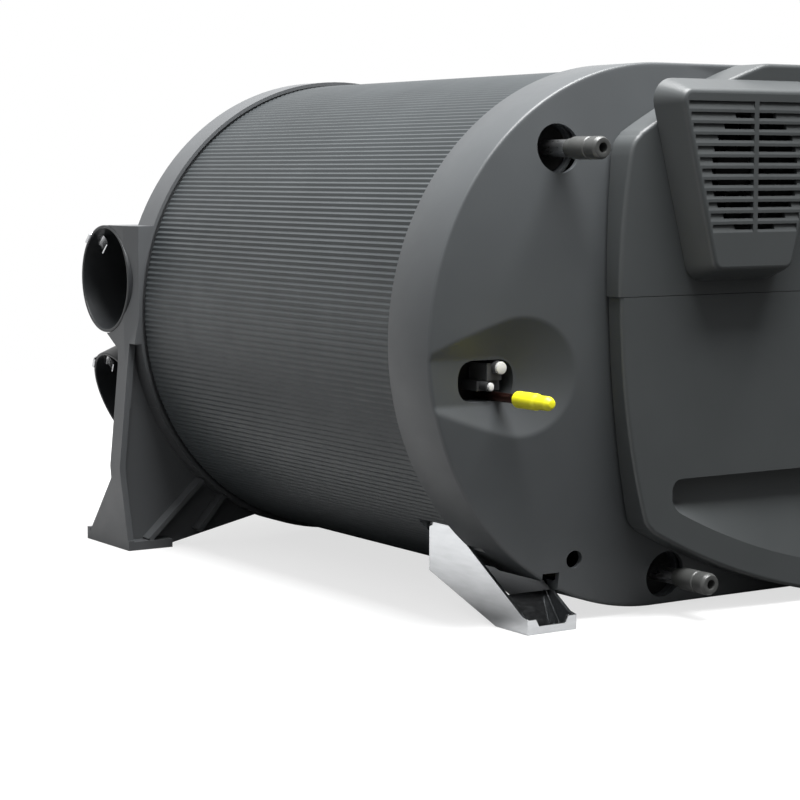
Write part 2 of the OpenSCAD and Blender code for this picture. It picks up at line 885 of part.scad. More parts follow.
module housing_outline(grow) {
    offset(r = housing_corner + grow, $fn = 48) offset(delta = -housing_corner) polygon([
        [grille_y - housing_low_w / 2, housing_low_z], [grille_y + housing_low_w / 2, housing_low_z],
        [grille_y + housing_top_w / 2, housing_top_z], [grille_y - housing_top_w / 2, housing_top_z]
    ]);
}

module housing_form(grow, x0, x1) {
    hull() {
        plate_yz(x0, x0 + film) housing_outline(grow + housing_draft);
        plate_yz(x1 - housing_edge, x1 - housing_edge + film) housing_outline(grow + housing_bevel);
        plate_yz(x1 - film, x1) housing_outline(grow);
    }
}

module grille_slots() {
    rows = ceil((grille_r + grille_oval) / slat_pitch);
    intersection() {
        at_yz([grille_y, grille_z]) plate_yz(grille_x - housing_wall - cut, grille_x + cut)
            grille_oval_outline(0);
        for (i = [-rows : rows], side = [0, 1])
            translate([0, grille_y, grille_z + i * slat_pitch]) mirror([0, side, 0])
                block([grille_x - deep, grille_x + deep], [grille_rib / 2, wide],
                      [-slot_h / 2, slot_h / 2]);
    }
}

module intake_grille() {
    color("dimgray") on_axis() difference() {
        housing_form(0, cover_x + seat, grille_x);
        housing_form(-housing_wall, cover_x - cut, grille_x - housing_wall);
        grille_slots();
    }
}

// Water tank, insulation, heat exchanger and burner
module water_tank() {
    color("lightsteelblue") on_axis() difference() {
        tube_x(tank_r, tank_bore, tank_x0, tank_x1);
        tube_x(tank_r - tank_sheet, tank_bore + tank_sheet, tank_x0 + tank_sheet, tank_x1 - tank_sheet);
        for (p = [hot_at, cold_at])
            at_yz(p) rod_x(pipe_r - pipe_wall, tank_x1 - tank_sheet - cut, tank_x1 + cut);
    }
}

module tank_insulation() {
    color("khaki") on_axis() difference() {
        tube_x(drum_in - seat, tank_r + seat, tank_x0, tank_x1);
        foot_slots();
    }
}

module heat_exchanger() {
    color("silver") on_axis() {
        plate_yz(exchanger_x0, exchanger_x1) difference() {
            union() {
                circle(exchanger_r);
                for (i = [0 : fin_count - 1])
                    rotate(i * 360 / fin_count)
                        translate([exchanger_r - root, -fin_t / 2])
                            square([tank_bore - seat - exchanger_r + root, fin_t]);
            }
            circle(exchanger_r - exchanger_wall);
        }
        rod_x(exchanger_r, exchanger_x0 - exchanger_wall, exchanger_x0);
    }
}

module burner_tube() {
    color("gray") on_axis() tube_x(burner_r, burner_r - burner_sheet, burner_x0, exchanger_x1);
}

module probe_places() {
    for (y = [probe_at, -probe_at])
        at_yz([y, probe_at]) children();
}

module burner_flange() {
    spigot_r = burner_r - burner_sheet - seat;
    color("darkgray") on_axis() difference() {
        union() {
            rod_x(flange_r, exchanger_x1 + seat, flange_x1);
            rod_x(spigot_r, exchanger_x1 - spigot_l, flange_x1);
        }
        rod_x(spigot_r - spigot_wall, exchanger_x1 - spigot_l - cut, exchanger_x1 - spigot_end);
        probe_places() rod_x(probe_r + seat, exchanger_x1 - spigot_l, flange_x1 + cut);
        at_yz([exhaust_y0, exhaust_z]) rod_x(exhaust_r + seat, exchanger_x1, flange_x1 + cut);
    }
}

module burner_air_box() {
    color("dimgray") on_axis() difference() {
        union() {
            rod_x(air_box_r, flange_x1 + seat, air_box_x1);
            translate([duct_x, 0, duct_z]) rod_y(duct_r, 0, blower_y - blower_out - duct_stop);
        }
        rod_x(air_box_r - duct_wall, flange_x1, air_box_x1 - duct_wall);
        translate([duct_x, 0, duct_z]) rod_y(duct_r - duct_wall, 0, blower_y);
        probe_places() rod_x(probe_hole_r, air_box_x1 - duct_wall - cut, air_box_x1 + cut);
        at_yz(fuel_at) fuel_route(fuel_r + seat);
    }
}

module burner_probe(y) {
    at_yz([y, probe_at]) {
        rod_x(probe_r, exchanger_x1 - probe_in, flange_x1 + probe_out);
        rod_x(probe_nut_r, flange_x1 + seat, flange_x1 + probe_nut_l);
    }
}
module glow_plug() { color("silver") on_axis() burner_probe(probe_at); }
module flame_sensor() { color("tan") on_axis() burner_probe(-probe_at); }

// Pipe bend in the XY plane: from along -X at the start to along +Y
module bend(r, radius) { rotate_extrude(angle = 90) translate([radius, 0]) circle(r); }

module exhaust_solid(r) {
    b = exhaust_bend;
    xb = exhaust_x;
    translate([0, exhaust_y0, exhaust_z]) rod_x(r, exchanger_x1 + seat, xb);
    translate([xb, exhaust_y0 + b, exhaust_z]) rotate([0, 0, 270]) bend(r, b);
    translate([xb + b, 0, exhaust_z]) rod_y(r, exhaust_y0 + b, exhaust_y1 - b);
    translate([xb, exhaust_y1 - b, exhaust_z]) bend(r, b);
    translate([0, exhaust_y1, exhaust_z]) rod_x(r, cap_x - stub_l, xb);
}

// Collar that stops a hose on a stub
module stub_collar(r) { rod_x(r + collar_h, cap_x - seat - collar_t, cap_x - seat); }

module exhaust_pipe() {
    color("silver") on_axis() difference() {
        union() {
            exhaust_solid(exhaust_r);
            at_yz([exhaust_y1, exhaust_z]) stub_collar(exhaust_r);
        }
        translate([0, exhaust_y1, exhaust_z])
            rod_x(exhaust_r - exhaust_wall, cap_x - stub_l - cut, cap_x + exhaust_bore);
    }
}

// Combustion blower with its air stub
module combustion_air_stub() {
    color("black") on_axis() at_yz([blower_y, blower_z]) difference() {
        union() {
            rod_x(intake_r, cap_x - stub_l, blower_x0 + stub_seat);
            stub_collar(intake_r);
        }
        rod_x(intake_r - stub_wall, cap_x - stub_l - cut, blower_x0 + stub_seat + cut);
    }
}

module blower_housing() {
    duct_y0 = blower_y - blower_out - duct_lap;
    color("dimgray") on_axis() difference() {
        union() {
            at_yz([blower_y, blower_z]) rod_x(blower_out, blower_x0, blower_x1);
            translate([duct_x, 0, duct_z]) rod_y(duct_r + duct_sleeve, duct_y0, duct_end_y);
        }
        at_yz([blower_y, blower_z]) rod_x(blower_out - blower_wall, blower_x0 + blower_wall, blower_x1 + cut);
        at_yz([blower_y, blower_z]) rod_x(intake_r + seat, blower_x0 - cut, blower_x0 + blower_wall + cut);
        translate([duct_x, 0, duct_z]) rod_y(duct_r + seat, duct_y0 - cut, duct_end_y - cut);
    }
}

module blower_lid() {
    color("gray") on_axis() at_yz([blower_y, blower_z])
        tube_x(blower_out, lid_hole_r, lid_x0, lid_x0 + lid_t);
}

module blower_motor() {
    color("silver") on_axis() at_yz([blower_y, blower_z])
        tube_x(blower_motor_r, shaft_r + run, blower_motor_x0, blower_motor_x0 + blower_motor_l);
}

module blower_wheel() {
    color("black") on_axis() at_yz([blower_y, blower_z]) {
        rod_x(blower_r, wheel_x1 - wheel_disc, wheel_x1);
        tube_x(blower_r, blower_r - vane_w, wheel_x0, wheel_x0 + wheel_ring);
        rod_x(wheel_hub_r, wheel_hub_x, wheel_x1);
        rod_x(shaft_r, wheel_x1 - root, blower_motor_x0 + blower_motor_l - lid_t);
        for (i = [0 : vane_count - 1])
            rotate([i * 360 / vane_count, 0, 0])
                translate([wheel_x0, blower_r - vane_w, 0]) rotate([vane_turn, 0, 0])
                    block([0, wheel_x1 - wheel_x0], [0, vane_w + vane_lap], [-vane_t / 2, vane_t / 2]);
    }
}

// Circulation fan behind the grille
module fan_shroud() {
    color("dimgray") on_axis() at_yz([grille_y, grille_z]) difference() {
        union() {
            tube_x(shroud_out, shroud_in, shroud_x0, cover_x + shroud_lap);
            for (i = [0 : spider_arms - 1])
                rotate([i * 360 / spider_arms, 0, 0])
                    block([shroud_x0, shroud_x0 + spider_t], [0, shroud_in + root],
                          [-spider_w / 2, spider_w / 2]);
            rod_x(motor_r + spider_w, shroud_x0, shroud_x0 + spider_t);
        }
        rod_x(motor_r + seat, shroud_x0 - cut, shroud_x0 + spider_t + cut);
    }
}

module fan_motor() {
    color("black") on_axis() at_yz([grille_y, grille_z])
        tube_x(motor_r, shaft_r + run, motor_x1 - motor_l, motor_x1);
}

module fan_blade() {
    reach = fan_r - fan_hub_r + root;
    translate([0, 0, -blade_t / 2]) linear_extrude(blade_t) polygon([
        [-blade_root_w / 2, 0], [blade_tip[0], reach * blade_reach[0]],
        [blade_tip[1], reach * blade_reach[1]], [blade_root_w / 2, 0]
    ]);
}

module fan_wheel() {
    color("black") on_axis() at_yz([grille_y, grille_z]) {
        rod_x(fan_hub_r, fan_x0, fan_x1);
        rod_x(shaft_r, motor_x1 - shaft_reach, fan_x0 + root);
        for (i = [0 : blade_count - 1])
            rotate([i * 360 / blade_count, 0, 0])
                translate([(fan_x0 + fan_x1) / 2, fan_hub_r - root, 0]) rotate([0, blade_turn, 0])
                    fan_blade();
    }
}

// Electronics
module control_board() {
    y0 = board_y[0];
    z0 = board_z[0];
    color("darkgreen") on_axis() difference() {
        union() {
            block([board_x, board_x + board_t], board_y, board_z);
            for (c = [relay, chip])
                block([board_x, board_x + c[2]], [y0 + c[0][0], y0 + c[0][1]], [z0 + c[1][0], z0 + c[1][1]]);
            for (i = [0 : coil_count - 1])
                at_yz([y0 + coil_at[0] + i * coil_pitch, z0 + coil_at[1]])
                    rod_x(coil_r, board_x, board_x + coil_h);
        }
        board_corners() rod_x(screw_r, board_x - cut, board_x + board_t + cut);
    }
}

module board_corners() {
    for (y = [board_y[0] + post_inset, board_y[1] - post_inset],
         z = [board_z[0] + post_inset, board_z[1] - post_inset])
        at_yz([y, z]) children();
}

module board_posts() {
    color("silver") on_axis() board_corners() rod_x(post_r, cap_x + cap_wall + seat, board_x - seat);
}

// Plugs in the pocket
module connector_block() {
    color("black") on_axis() difference() {
        at_yz([port_y, pocket_z])
            plate_yz(pocket_back - port_depth - block_l, pocket_back - port_depth - seat) port_outline(block_rim);
        at_yz(power_at) plug_body(power_half + [seat, seat], plug_x0, face_x);
        at_yz(bus_at) plug_body(bus_half + [seat, seat], plug_x0, face_x);
        at_yz(fuel_at) rod_x(fuel_r + seat, face_x - 2 * deep, face_x);
    }
}

module plug_body(half, x0, x1) { block([x0, x1], [-half[0], half[0]], [-half[1], half[1]]); }

module plug(p, half, x1, tip, tip_r) {
    at_yz(p) {
        plug_body(half, plug_x0 + seat, x1);
        at_yz(tip) rod_x(tip_r, x1 - root, plug_tip_x);
    }
}
module power_plug() { color("black") on_axis() plug(power_at, power_half, power_x1, power_tip, power_tip_r); }
module bus_plug() { color("black") on_axis() plug(bus_at, bus_half, bus_x1, bus_tip, bus_tip_r); }

module plug_seal(p, tip_r) {
    at_yz(p) rod_x(tip_r - seal_in, plug_tip_x + seat, plug_tip_x + seat + seal_t);
}
module plug_seals() {
    color("white") on_axis() {
        plug_seal(power_at + power_tip, power_tip_r);
        plug_seal(bus_at + bus_tip, bus_tip_r);
    }
}

// Fuel pipe with its pull-off cap
module fuel_route(r) {
    xb = flange_x1 + fuel_bend + fuel_offset;
    rod_x(r, xb, fuel_cap_x + fuel_cap_l - fuel_lap);
    translate([xb, fuel_bend, 0]) rotate([0, 0, 180]) bend(r, fuel_bend);
    translate([xb - fuel_bend, 0, 0]) rod_y(r, fuel_bend, -fuel_at[0] - fuel_end);
}

module fuel_pipe() { color("dimgray") on_axis() at_yz(fuel_at) fuel_route(fuel_r); }

module fuel_cap() {
    x0 = fuel_cap_x;
    x1 = fuel_cap_x + fuel_cap_l;
    thin_r = fuel_cap_r - 0.7;
    color("gold") on_axis() at_yz(fuel_at) lathe_x() polygon([
        [fuel_r + run, x0], [thin_r, x0], [fuel_cap_r, x0 + cut], [fuel_cap_r, x0 + cap_step_x],
        [thin_r, x0 + cap_step_x + 2 * cut], [thin_r, x1 - 2 * cut], [fuel_r, x1],
        [0, x1], [0, x1 - cap_skin], [fuel_r + run, x1 - cap_skin]
    ]);
}

// Water pipes
module water_pipe(p) {
    at_yz(p) tube_x(pipe_r, pipe_r - pipe_wall, tank_x1 + seat,
                    face_x + connector_reach - connector_l + pipe_lap);
}

module water_connector(p) {
    x1 = face_x + connector_reach;
    x0 = x1 - connector_l;
    bore_r = pipe_r - pipe_wall;
    stop_x = x0 + pipe_lap + seat;
    at_yz(p) lathe_x() polygon([
        [pipe_r + run, x0], [connector_r - cut, x0], [connector_r - cut, x0 + pipe_lap / 2],
        [connector_r, x0 + pipe_lap / 2 + cut], [connector_r, x1 - 2 * cut], [connector_r - cut, x1],
        [bore_r, x1], [bore_r, stop_x], [pipe_r + run, stop_x]
    ]);
}

module hot_water_pipe() { color("silver") on_axis() water_pipe(hot_at); }
module cold_water_pipe() { color("silver") on_axis() water_pipe(cold_at); }
module hot_connector() { color("dimgray") on_axis() water_connector(hot_at); }
module cold_connector() { color("dimgray") on_axis() water_connector(cold_at); }

module pipe_grommets() {
    color("black") on_axis() for (p = [hot_at, cold_at])
        at_yz(p) tube_x(well_r - seat, pipe_r + run, grommet_x, grommet_x + grommet_t);
}

module water_sensor() {
    color("goldenrod") on_axis() at_yz(sensor_at) rod_x(sensor_r, tank_x1 + seat, tank_x1 + sensor_l);
}

drum_casing();
rear_frame();
air_manifold();
manifold_screws();
duct_socket_near_upper();
duct_socket_near_lower();
duct_socket_far_upper();
duct_socket_far_lower();
duct_clips();
end_cap();
lower_cover();
upper_cover();
intake_grille();
front_foot_near();
front_foot_far();
water_tank();
tank_insulation();
heat_exchanger();
burner_tube();
burner_flange();
burner_air_box();
glow_plug();
flame_sensor();
exhaust_pipe();
combustion_air_stub();
blower_housing();
blower_lid();
blower_motor();
blower_wheel();
fan_shroud();
fan_motor();
fan_wheel();
control_board();
board_posts();
connector_block();
power_plug();
bus_plug();
plug_seals();
fuel_pipe();
fuel_cap();
hot_water_pipe();
cold_water_pipe();
hot_connector();
cold_connector();
pipe_grommets();
water_sensor();
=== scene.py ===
"""Looks of a caravan water heater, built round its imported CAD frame.

Lengths in the shape functions are millimetres in the drum's own frame. X runs along the drum axis
from the rear frame to the covers, and the axis lies at Y = Z = 0.
"""

import json
import math

import bmesh
import bpy
import numpy as np
from mathutils import Matrix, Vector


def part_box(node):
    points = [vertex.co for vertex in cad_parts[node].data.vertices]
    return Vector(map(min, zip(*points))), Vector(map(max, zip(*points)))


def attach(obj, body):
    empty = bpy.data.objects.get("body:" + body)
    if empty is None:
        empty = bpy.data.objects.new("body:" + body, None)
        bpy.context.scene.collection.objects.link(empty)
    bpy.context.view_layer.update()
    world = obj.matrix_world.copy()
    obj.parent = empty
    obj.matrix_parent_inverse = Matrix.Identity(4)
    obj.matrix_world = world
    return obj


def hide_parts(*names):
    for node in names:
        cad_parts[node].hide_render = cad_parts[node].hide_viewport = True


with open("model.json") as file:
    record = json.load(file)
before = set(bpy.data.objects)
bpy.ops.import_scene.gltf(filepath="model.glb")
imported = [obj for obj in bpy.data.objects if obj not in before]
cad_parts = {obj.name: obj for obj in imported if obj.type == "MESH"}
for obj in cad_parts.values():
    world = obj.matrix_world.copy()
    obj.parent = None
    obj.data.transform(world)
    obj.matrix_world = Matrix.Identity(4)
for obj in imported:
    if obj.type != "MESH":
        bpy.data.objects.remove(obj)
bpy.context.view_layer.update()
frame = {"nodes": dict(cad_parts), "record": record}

MM = 0.001
AXIS_SHIFT = (35.0, 0.0, 151.5)
FLOOR_Z = -AXIS_SHIFT[2]
SLOT_OF = {part["node"]: part["material_slot"] for part in frame["record"]["subparts"]}

# Main stations of the heater
DRUM_R = 146.0
DRUM_IN = 141.5
RING_R = 148.5
CAP_X = 291.0
FACE_X = 330.5
DOME_RISE = 14.0
DOME_BALL = (RING_R ** 2 + DOME_RISE ** 2) / (2 * DOME_RISE)
STRETCH = 142.5
COVER_X = 356.0
GRILLE_X = 374.0
SEAT = 0.3

# Room round the outer flange of a front foot
FLANGE_Y = (-98.3, -95.7)
FLANGE_TOP = -101.0

# Mouths of the near duct sockets, with their tilt
SOCKETS = (("upper", (-39.5, -153.5, 21.0), 0.0), ("lower", (-63.0, -130.0, -61.0), 22.0))

# Circle along the lower edge of the covers, and the faces at the seam between them
LOW_ROUND = ((179.6, 265.8), 420.0)
SEAM_Z = (23.85, 24.15)

# Height of the grille's front, and its slots
GRILLE_Z = (38.5, 132.0)
SLOT_PITCH = 5.9
SLOT_H = 2.9


def face_place(inset, turn):
    """Y and Z of a place on the round face, by distance from its rim and angle."""
    r = RING_R - inset
    return r * math.cos(math.radians(turn)), r * math.sin(math.radians(turn))


HOT_AT = face_place(24.8, 124.5)
COLD_AT = face_place(17.3, -87.4)
DRAIN_AT = face_place(18.4, 244.0)
POCKET_AT = (-105.5, -18.5)
PORT_AT = (-112.5, -18.5)
FUEL_AT = (-105.0, -27.0)
GRILLE_AT = (32.0, 90.0)


# Mesh helpers


def to_frame(points):
    """Points of the drum's frame in millimetres, as metres of the part's frame."""
    return (np.asarray(points, float) + AXIS_SHIFT) * MM


def new_object(name, points, faces):
    """Mesh object from points of the drum's frame."""
    mesh = bpy.data.meshes.new(name)
    mesh.from_pydata(to_frame(points).tolist(), [], faces)
    mesh.update()
    obj = bpy.data.objects.new(name, mesh)
    bpy.context.scene.collection.objects.link(obj)
    return obj


def loft_faces(count, size, loop, ends):
    """Faces of a skin over count rings of size points each, with end faces or closed in a loop."""
    faces = []
    for k in range(count if loop else count - 1):
        a = k * size
        b = ((k + 1) % count) * size
        for i in range(size):
            j = (i + 1) % size
            faces.append((a + i, a + j, b + j, b + i))
    if ends and not loop:
        faces.append(tuple(reversed(range(size))))
        faces.append(tuple((count - 1) * size + i for i in range(size)))
    return faces


def tidy_mesh(obj):
    """Joins doubled points, turns faces outward and keeps the sharp edges crisp."""
    crisp = math.radians(32.0)
    bm = bmesh.new()
    bm.from_mesh(obj.data)
    bmesh.ops.remove_doubles(bm, verts=bm.verts, dist=1e-6)
    bmesh.ops.dissolve_degenerate(bm, edges=bm.edges, dist=1e-7)
    bmesh.ops.recalc_face_normals(bm, faces=bm.faces)
    for face in bm.faces:
        face.smooth = True
    for edge in bm.edges:
        edge.smooth = len(edge.link_faces) == 2 and edge.calc_face_angle(0.0) < crisp
    bm.to_mesh(obj.data)
    bm.free()
    return obj


def skin(name, rings, loop=False, ends=True):
    """Mesh over rings of points."""
    rings = np.asarray(rings, float)
    count, size = rings.shape[:2]
    return tidy_mesh(new_object(name, rings.reshape(-1, 3), loft_faces(count, size, loop, ends)))


def joined(name, parts):
    """One object from several closed skins."""
    bm = bmesh.new()
    for part in parts:
        bm.from_mesh(part.data)
    mesh = bpy.data.meshes.new(name)
    bm.to_mesh(mesh)
    bm.free()
    for part in parts:
        old = part.data
        bpy.data.objects.remove(part)
        bpy.data.meshes.remove(old)
    obj = bpy.data.objects.new(name, mesh)
    bpy.context.scene.collection.objects.link(obj)
    return tidy_mesh(obj)


def carve(target, cutter, operation="DIFFERENCE"):
    """Cuts one closed mesh from another, or joins them, then drops the cutter."""
    change = target.modifiers.new("carve", "BOOLEAN")
    change.object = cutter
    change.operation = operation
    change.solver = "EXACT"
    bpy.context.view_layer.update()
    graph = bpy.context.evaluated_depsgraph_get()
    mesh = bpy.data.meshes.new_from_object(target.evaluated_get(graph))
    target.modifiers.clear()
    old = target.data
    target.data = mesh
    bpy.data.meshes.remove(old)
    old = cutter.data
    bpy.data.objects.remove(cutter)
    bpy.data.meshes.remove(old)
    return tidy_mesh(target)


def slab(name, outline, x):
    """Closed plate across X from an outline of Y and Z."""
    return skin(name, [[(a, b, c) for b, c in outline] for a in x])


def block(x, y, z):
    """Closed box for cutting, from its three ranges."""
    return slab("block", [(y[0], z[0]), (y[1], z[0]), (y[1], z[1]), (y[0], z[1])], x)


def fillet(points, radius, steps=5):
    """Rounds the corners of a closed outline, with one radius or one for each corner."""
    most = 0.48
    least = 1e-4
    points = np.asarray(points, float)
    radii = np.broadcast_to(radius, len(points))
    out = []
    for i, corner in enumerate(points):
        back = points[i - 1] - corner
        ahead = points[(i + 1) % len(points)] - corner
        back_len = np.linalg.norm(back)
        ahead_len = np.linalg.norm(ahead)
        u = back / back_len
        v = ahead / ahead_len
        half = 0.5 * math.acos(float(np.clip(u @ v, -1.0, 1.0)))
        reach = min(radii[i] / max(math.tan(half), 1e-6), most * back_len, most * ahead_len)
        if reach < least:
            out.append(corner)
            continue
        for t in np.linspace(0.0, 1.0, steps + 1):
            out.append((1 - t) ** 2 * (corner + u * reach) + 2 * t * (1 - t) * corner
                       + t * t * (corner + v * reach))
    return np.array(out)


def circle(x, r, centre, steps):
    """Ring of points about a line along X, with one radius or one for each point."""
    turn = np.linspace(0.0, 2 * math.pi, steps, endpoint=False)
    return np.column_stack([np.full(steps, x), centre[0] + r * np.cos(turn), centre[1] + r * np.sin(turn)])


def turned(name, profile, centre, steps):
    """Turned piece about a line along X, from a closed outline of X and radius."""
    return skin(name, [circle(x, r, centre, steps) for x, r in profile], loop=True)


def rod(x, r, centre, steps=64):
    """Closed cylinder along X for cutting."""
    return skin("rod", [circle(a, r, centre, steps) for a in x])


def place(obj, node, material, body="heater"):
    """Puts a finished mesh in the place of a CAD node."""
    obj.data.materials.clear()
    obj.data.materials.append(material)
    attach(obj, body)
    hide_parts(node)


def round_edges(obj, width):
    """Shows a CAD mesh with a narrow bevel on its sharp edges."""
    weld = obj.modifiers.new("weld", "WELD")
    weld.merge_threshold = 2e-6
    edge = obj.modifiers.new("edge", "BEVEL")
    edge.width = width * MM
    edge.segments = 2
    edge.limit_method = "ANGLE"
    edge.angle_limit = math.radians(30.0)
    edge.harden_normals = True


# Materials

WHITE = (1.0, 1.0, 1.0, 1.0)


def linear(rgb):
    """Screen colour from 0 to 255 as linear light."""
    out = []
    for c in rgb:
        c = c / 255.0
        out.append(c / 12.92 if c <= 0.04045 else ((c + 0.055) / 1.055) ** 2.4)
    return (out[0], out[1], out[2], 1.0)


def shaded(rgba, factor):
    """Colour made darker or lighter."""
    return (rgba[0] * factor, rgba[1] * factor, rgba[2] * factor, 1.0)


def noise(tree, scale, detail, stretch=(1.0, 1.0, 1.0)):
    """Noise in the object's own space, stretched along its axes."""
    coords = tree.nodes.new("ShaderNodeTexCoord")
    mapping = tree.nodes.new("ShaderNodeMapping")
    mapping.inputs["Scale"].default_value = stretch
    texture = tree.nodes.new("ShaderNodeTexNoise")
    texture.inputs["Scale"].default_value = scale
    texture.inputs["Detail"].default_value = detail
    tree.links.new(coords.outputs["Object"], mapping.inputs["Vector"])
    tree.links.new(mapping.outputs["Vector"], texture.inputs["Vector"])
    return texture.outputs["Fac"]


def spread(tree, value, low, high):
    """Value brought from the middle of a noise to a range."""
    node = tree.nodes.new("ShaderNodeMapRange")
    node.inputs["From Min"].default_value = 0.3
    node.inputs["From Max"].default_value = 0.7
    node.inputs["To Min"].default_value = low
    node.inputs["To Max"].default_value = high
    tree.links.new(value, node.inputs["Value"])
    return node.outputs["Result"]


def two_tone(tree, value, dark, light):
    """Colour between two tones, by the middle of a noise."""
    ramp = tree.nodes.new("ShaderNodeValToRGB")
    ramp.color_ramp.elements[0].position = 0.32
    ramp.color_ramp.elements[0].color = dark
    ramp.color_ramp.elements[1].position = 0.68
    ramp.color_ramp.elements[1].color = light
    tree.links.new(value, ramp.inputs["Fac"])
    return ramp.outputs["Color"]


def bump(tree, value, strength, depth):
    """Normal bent by a fine relief."""
    node = tree.nodes.new("ShaderNodeBump")
    node.inputs["Strength"].default_value = strength
    node.inputs["Distance"].default_value = depth
    tree.links.new(value, node.inputs["Height"])
    return node.outputs["Normal"]


def combined(tree, operation, first, second):
    """Two values brought together by one operation."""
    node = tree.nodes.new("ShaderNodeMath")
    node.operation = operation
    tree.links.new(first, node.inputs[0])
    tree.links.new(second, node.inputs[1])
    return node.outputs["Value"]


def eased(tree, value, start, end, low, high):
    """Value eased from one level to another between two bounds."""
    node = tree.nodes.new("ShaderNodeMapRange")
    node.interpolation_type = "SMOOTHSTEP"
    node.inputs["From Min"].default_value = start
    node.inputs["From Max"].default_value = end
    node.inputs["To Min"].default_value = low
    node.inputs["To Max"].default_value = high
    tree.links.new(value, node.inputs["Value"])
    return node.outputs["Result"]


def axes(tree, vector):
    """X, Y and Z of a vector."""
    split = tree.nodes.new("ShaderNodeSeparateXYZ")
    tree.links.new(vector, split.inputs["Vector"])
    return split.outputs


def start_material(name):
    """New material with its node tree and its main shader."""
    material = bpy.data.materials.new(name)
    material.use_nodes = True
    return material, material.node_tree, material.node_tree.nodes["Principled BSDF"]


def plastic(name, rgb, rough, sheen=0.5):
    """Moulded plastic with a fine spark-eroded grain and slight tone changes."""
    material, tree, shader = start_material(name)
    colour = linear(rgb)
    tone = two_tone(tree, noise(tree, 14.0, 3.0), shaded(colour, 0.93), shaded(colour, 1.07))
    tree.links.new(tone, shader.inputs["Base Color"])
    gloss = spread(tree, noise(tree, 70.0, 4.0), rough - 0.03, rough + 0.04)
    tree.links.new(gloss, shader.inputs["Roughness"])
    tree.links.new(bump(tree, noise(tree, 2600.0, 2.0), 0.06, 0.0002), shader.inputs["Normal"])
    shader.inputs["Specular IOR Level"].default_value = sheen
    return material


def rubber(name, rgb):
    """Dull rubber with a mottled tone."""
    material, tree, shader = start_material(name)
    colour = linear(rgb)
    tone = two_tone(tree, noise(tree, 40.0, 5.0), shaded(colour, 0.8), shaded(colour, 1.25))
    tree.links.new(tone, shader.inputs["Base Color"])
    tree.links.new(spread(tree, noise(tree, 120.0, 3.0), 0.68, 0.85), shader.inputs["Roughness"])
    tree.links.new(bump(tree, noise(tree, 1400.0, 3.0), 0.1, 0.0003), shader.inputs["Normal"])
    shader.inputs["Specular IOR Level"].default_value = 0.3
    return material


def metal(name, rgb, rough, stretch=(1.0, 1.0, 1.0), grain=0.05):
    """Bare metal with faint drawn lines."""
    material, tree, shader = start_material(name)
    colour = linear(rgb)
    tone = two_tone(tree, noise(tree, 60.0, 4.0, stretch), shaded(colour, 0.93), shaded(colour, 1.05))
    tree.links.new(tone, shader.inputs["Base Color"])
    gloss = spread(tree, noise(tree, 180.0, 4.0, stretch), rough - 0.05, rough + 0.06)
    tree.links.new(gloss, shader.inputs["Roughness"])
    tree.links.new(bump(tree, noise(tree, 500.0, 3.0, stretch), grain, 0.0002), shader.inputs["Normal"])
    shader.inputs["Metallic"].default_value = 1.0
    return material


def sheet_painted_dark_in_fold(node):
    """Bright sheet metal with painted shade inside the fold of a foot, where its base colour is darker."""
    material = metal(node + "_sheet", (218, 220, 222), 0.15, (1.0, 1.0, 6.0), 0.006)
    tree = material.node_tree
    base = tree.nodes["Principled BSDF"].inputs["Base Color"]
    bright = base.links[0].from_socket
    low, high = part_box(node)
    sheet = 2.0 * MM
    edge = 0.1 * MM
    lip = high[0] - sheet + edge
    first = low[1] + sheet - edge
    last = high[1] - sheet + edge
    coords = tree.nodes.new("ShaderNodeTexCoord")
    at = axes(tree, coords.outputs["Object"])
    behind_lip = eased(tree, at["X"], lip, lip + edge, 1.0, 0.0)
    past_first = eased(tree, at["Y"], first - edge, first, 0.0, 1.0)
    before_last = eased(tree, at["Y"], last, last + edge, 1.0, 0.0)
    inside = combined(tree, "MULTIPLY", behind_lip, past_first)
    inside = combined(tree, "MULTIPLY", inside, before_last)
    # Painted shade: inside the fold the base colour goes to this darker grey.
    tone = tree.nodes.new("ShaderNodeMixRGB")
    tone.inputs["Color2"].default_value = linear((112, 114, 116))
    tree.links.new(inside, tone.inputs["Fac"])
    tree.links.new(bright, tone.inputs["Color1"])
    tree.links.new(tone.outputs["Color"], base)
    return material


def foam(name, rgb):
    """Open foam, rough and pitted."""
    material, tree, shader = start_material(name)
    colour = linear(rgb)
    tone = two_tone(tree, noise(tree, 320.0, 4.0), shaded(colour, 0.75), shaded(colour, 1.1))
    tree.links.new(tone, shader.inputs["Base Color"])
    tree.links.new(bump(tree, noise(tree, 420.0, 4.0), 0.5, 0.001), shader.inputs["Normal"])
    shader.inputs["Roughness"].default_value = 0.95
    return material


MATERIALS = {
    "drum_plastic": plastic("drum_plastic", (66, 70, 72), 0.42, sheen=0.35),
    "frame_plastic": plastic("frame_plastic", (88, 90, 92), 0.42),
    "shell_plastic": plastic("shell_plastic", (77, 80, 82), 0.43),
    "cover_plastic": plastic("cover_plastic", (70, 73, 74), 0.44),
    "socket_plastic": plastic("socket_plastic", (48, 50, 52), 0.42),
    "connector_plastic": plastic("connector_plastic", (74, 75, 74), 0.34),
    "black_plastic": plastic("black_plastic", (24, 24, 25), 0.35),
    "black_rubber": rubber("black_rubber", (26, 26, 26)),
    "white_plastic": plastic("white_plastic", (236, 236, 234), 0.25),
    "yellow_plastic": plastic("yellow_plastic", (250, 244, 40), 0.4),
    "zinc_steel": metal("zinc_steel", (190, 190, 192), 0.32),
    "spring_steel": metal("spring_steel", (205, 206, 208), 0.24),
    "stainless_steel": metal("stainless_steel", (196, 197, 199), 0.3, (1.0, 5.0, 5.0)),
    "cast_aluminium": metal("cast_aluminium", (190, 190, 190), 0.55),
    "foam": foam("foam", (206, 196, 160)),
    "board_green": plastic("board_green", (26, 110, 60), 0.3),
    "brass": metal("brass", (205, 170, 95), 0.3),
}


# Drum, rear frame and duct sockets


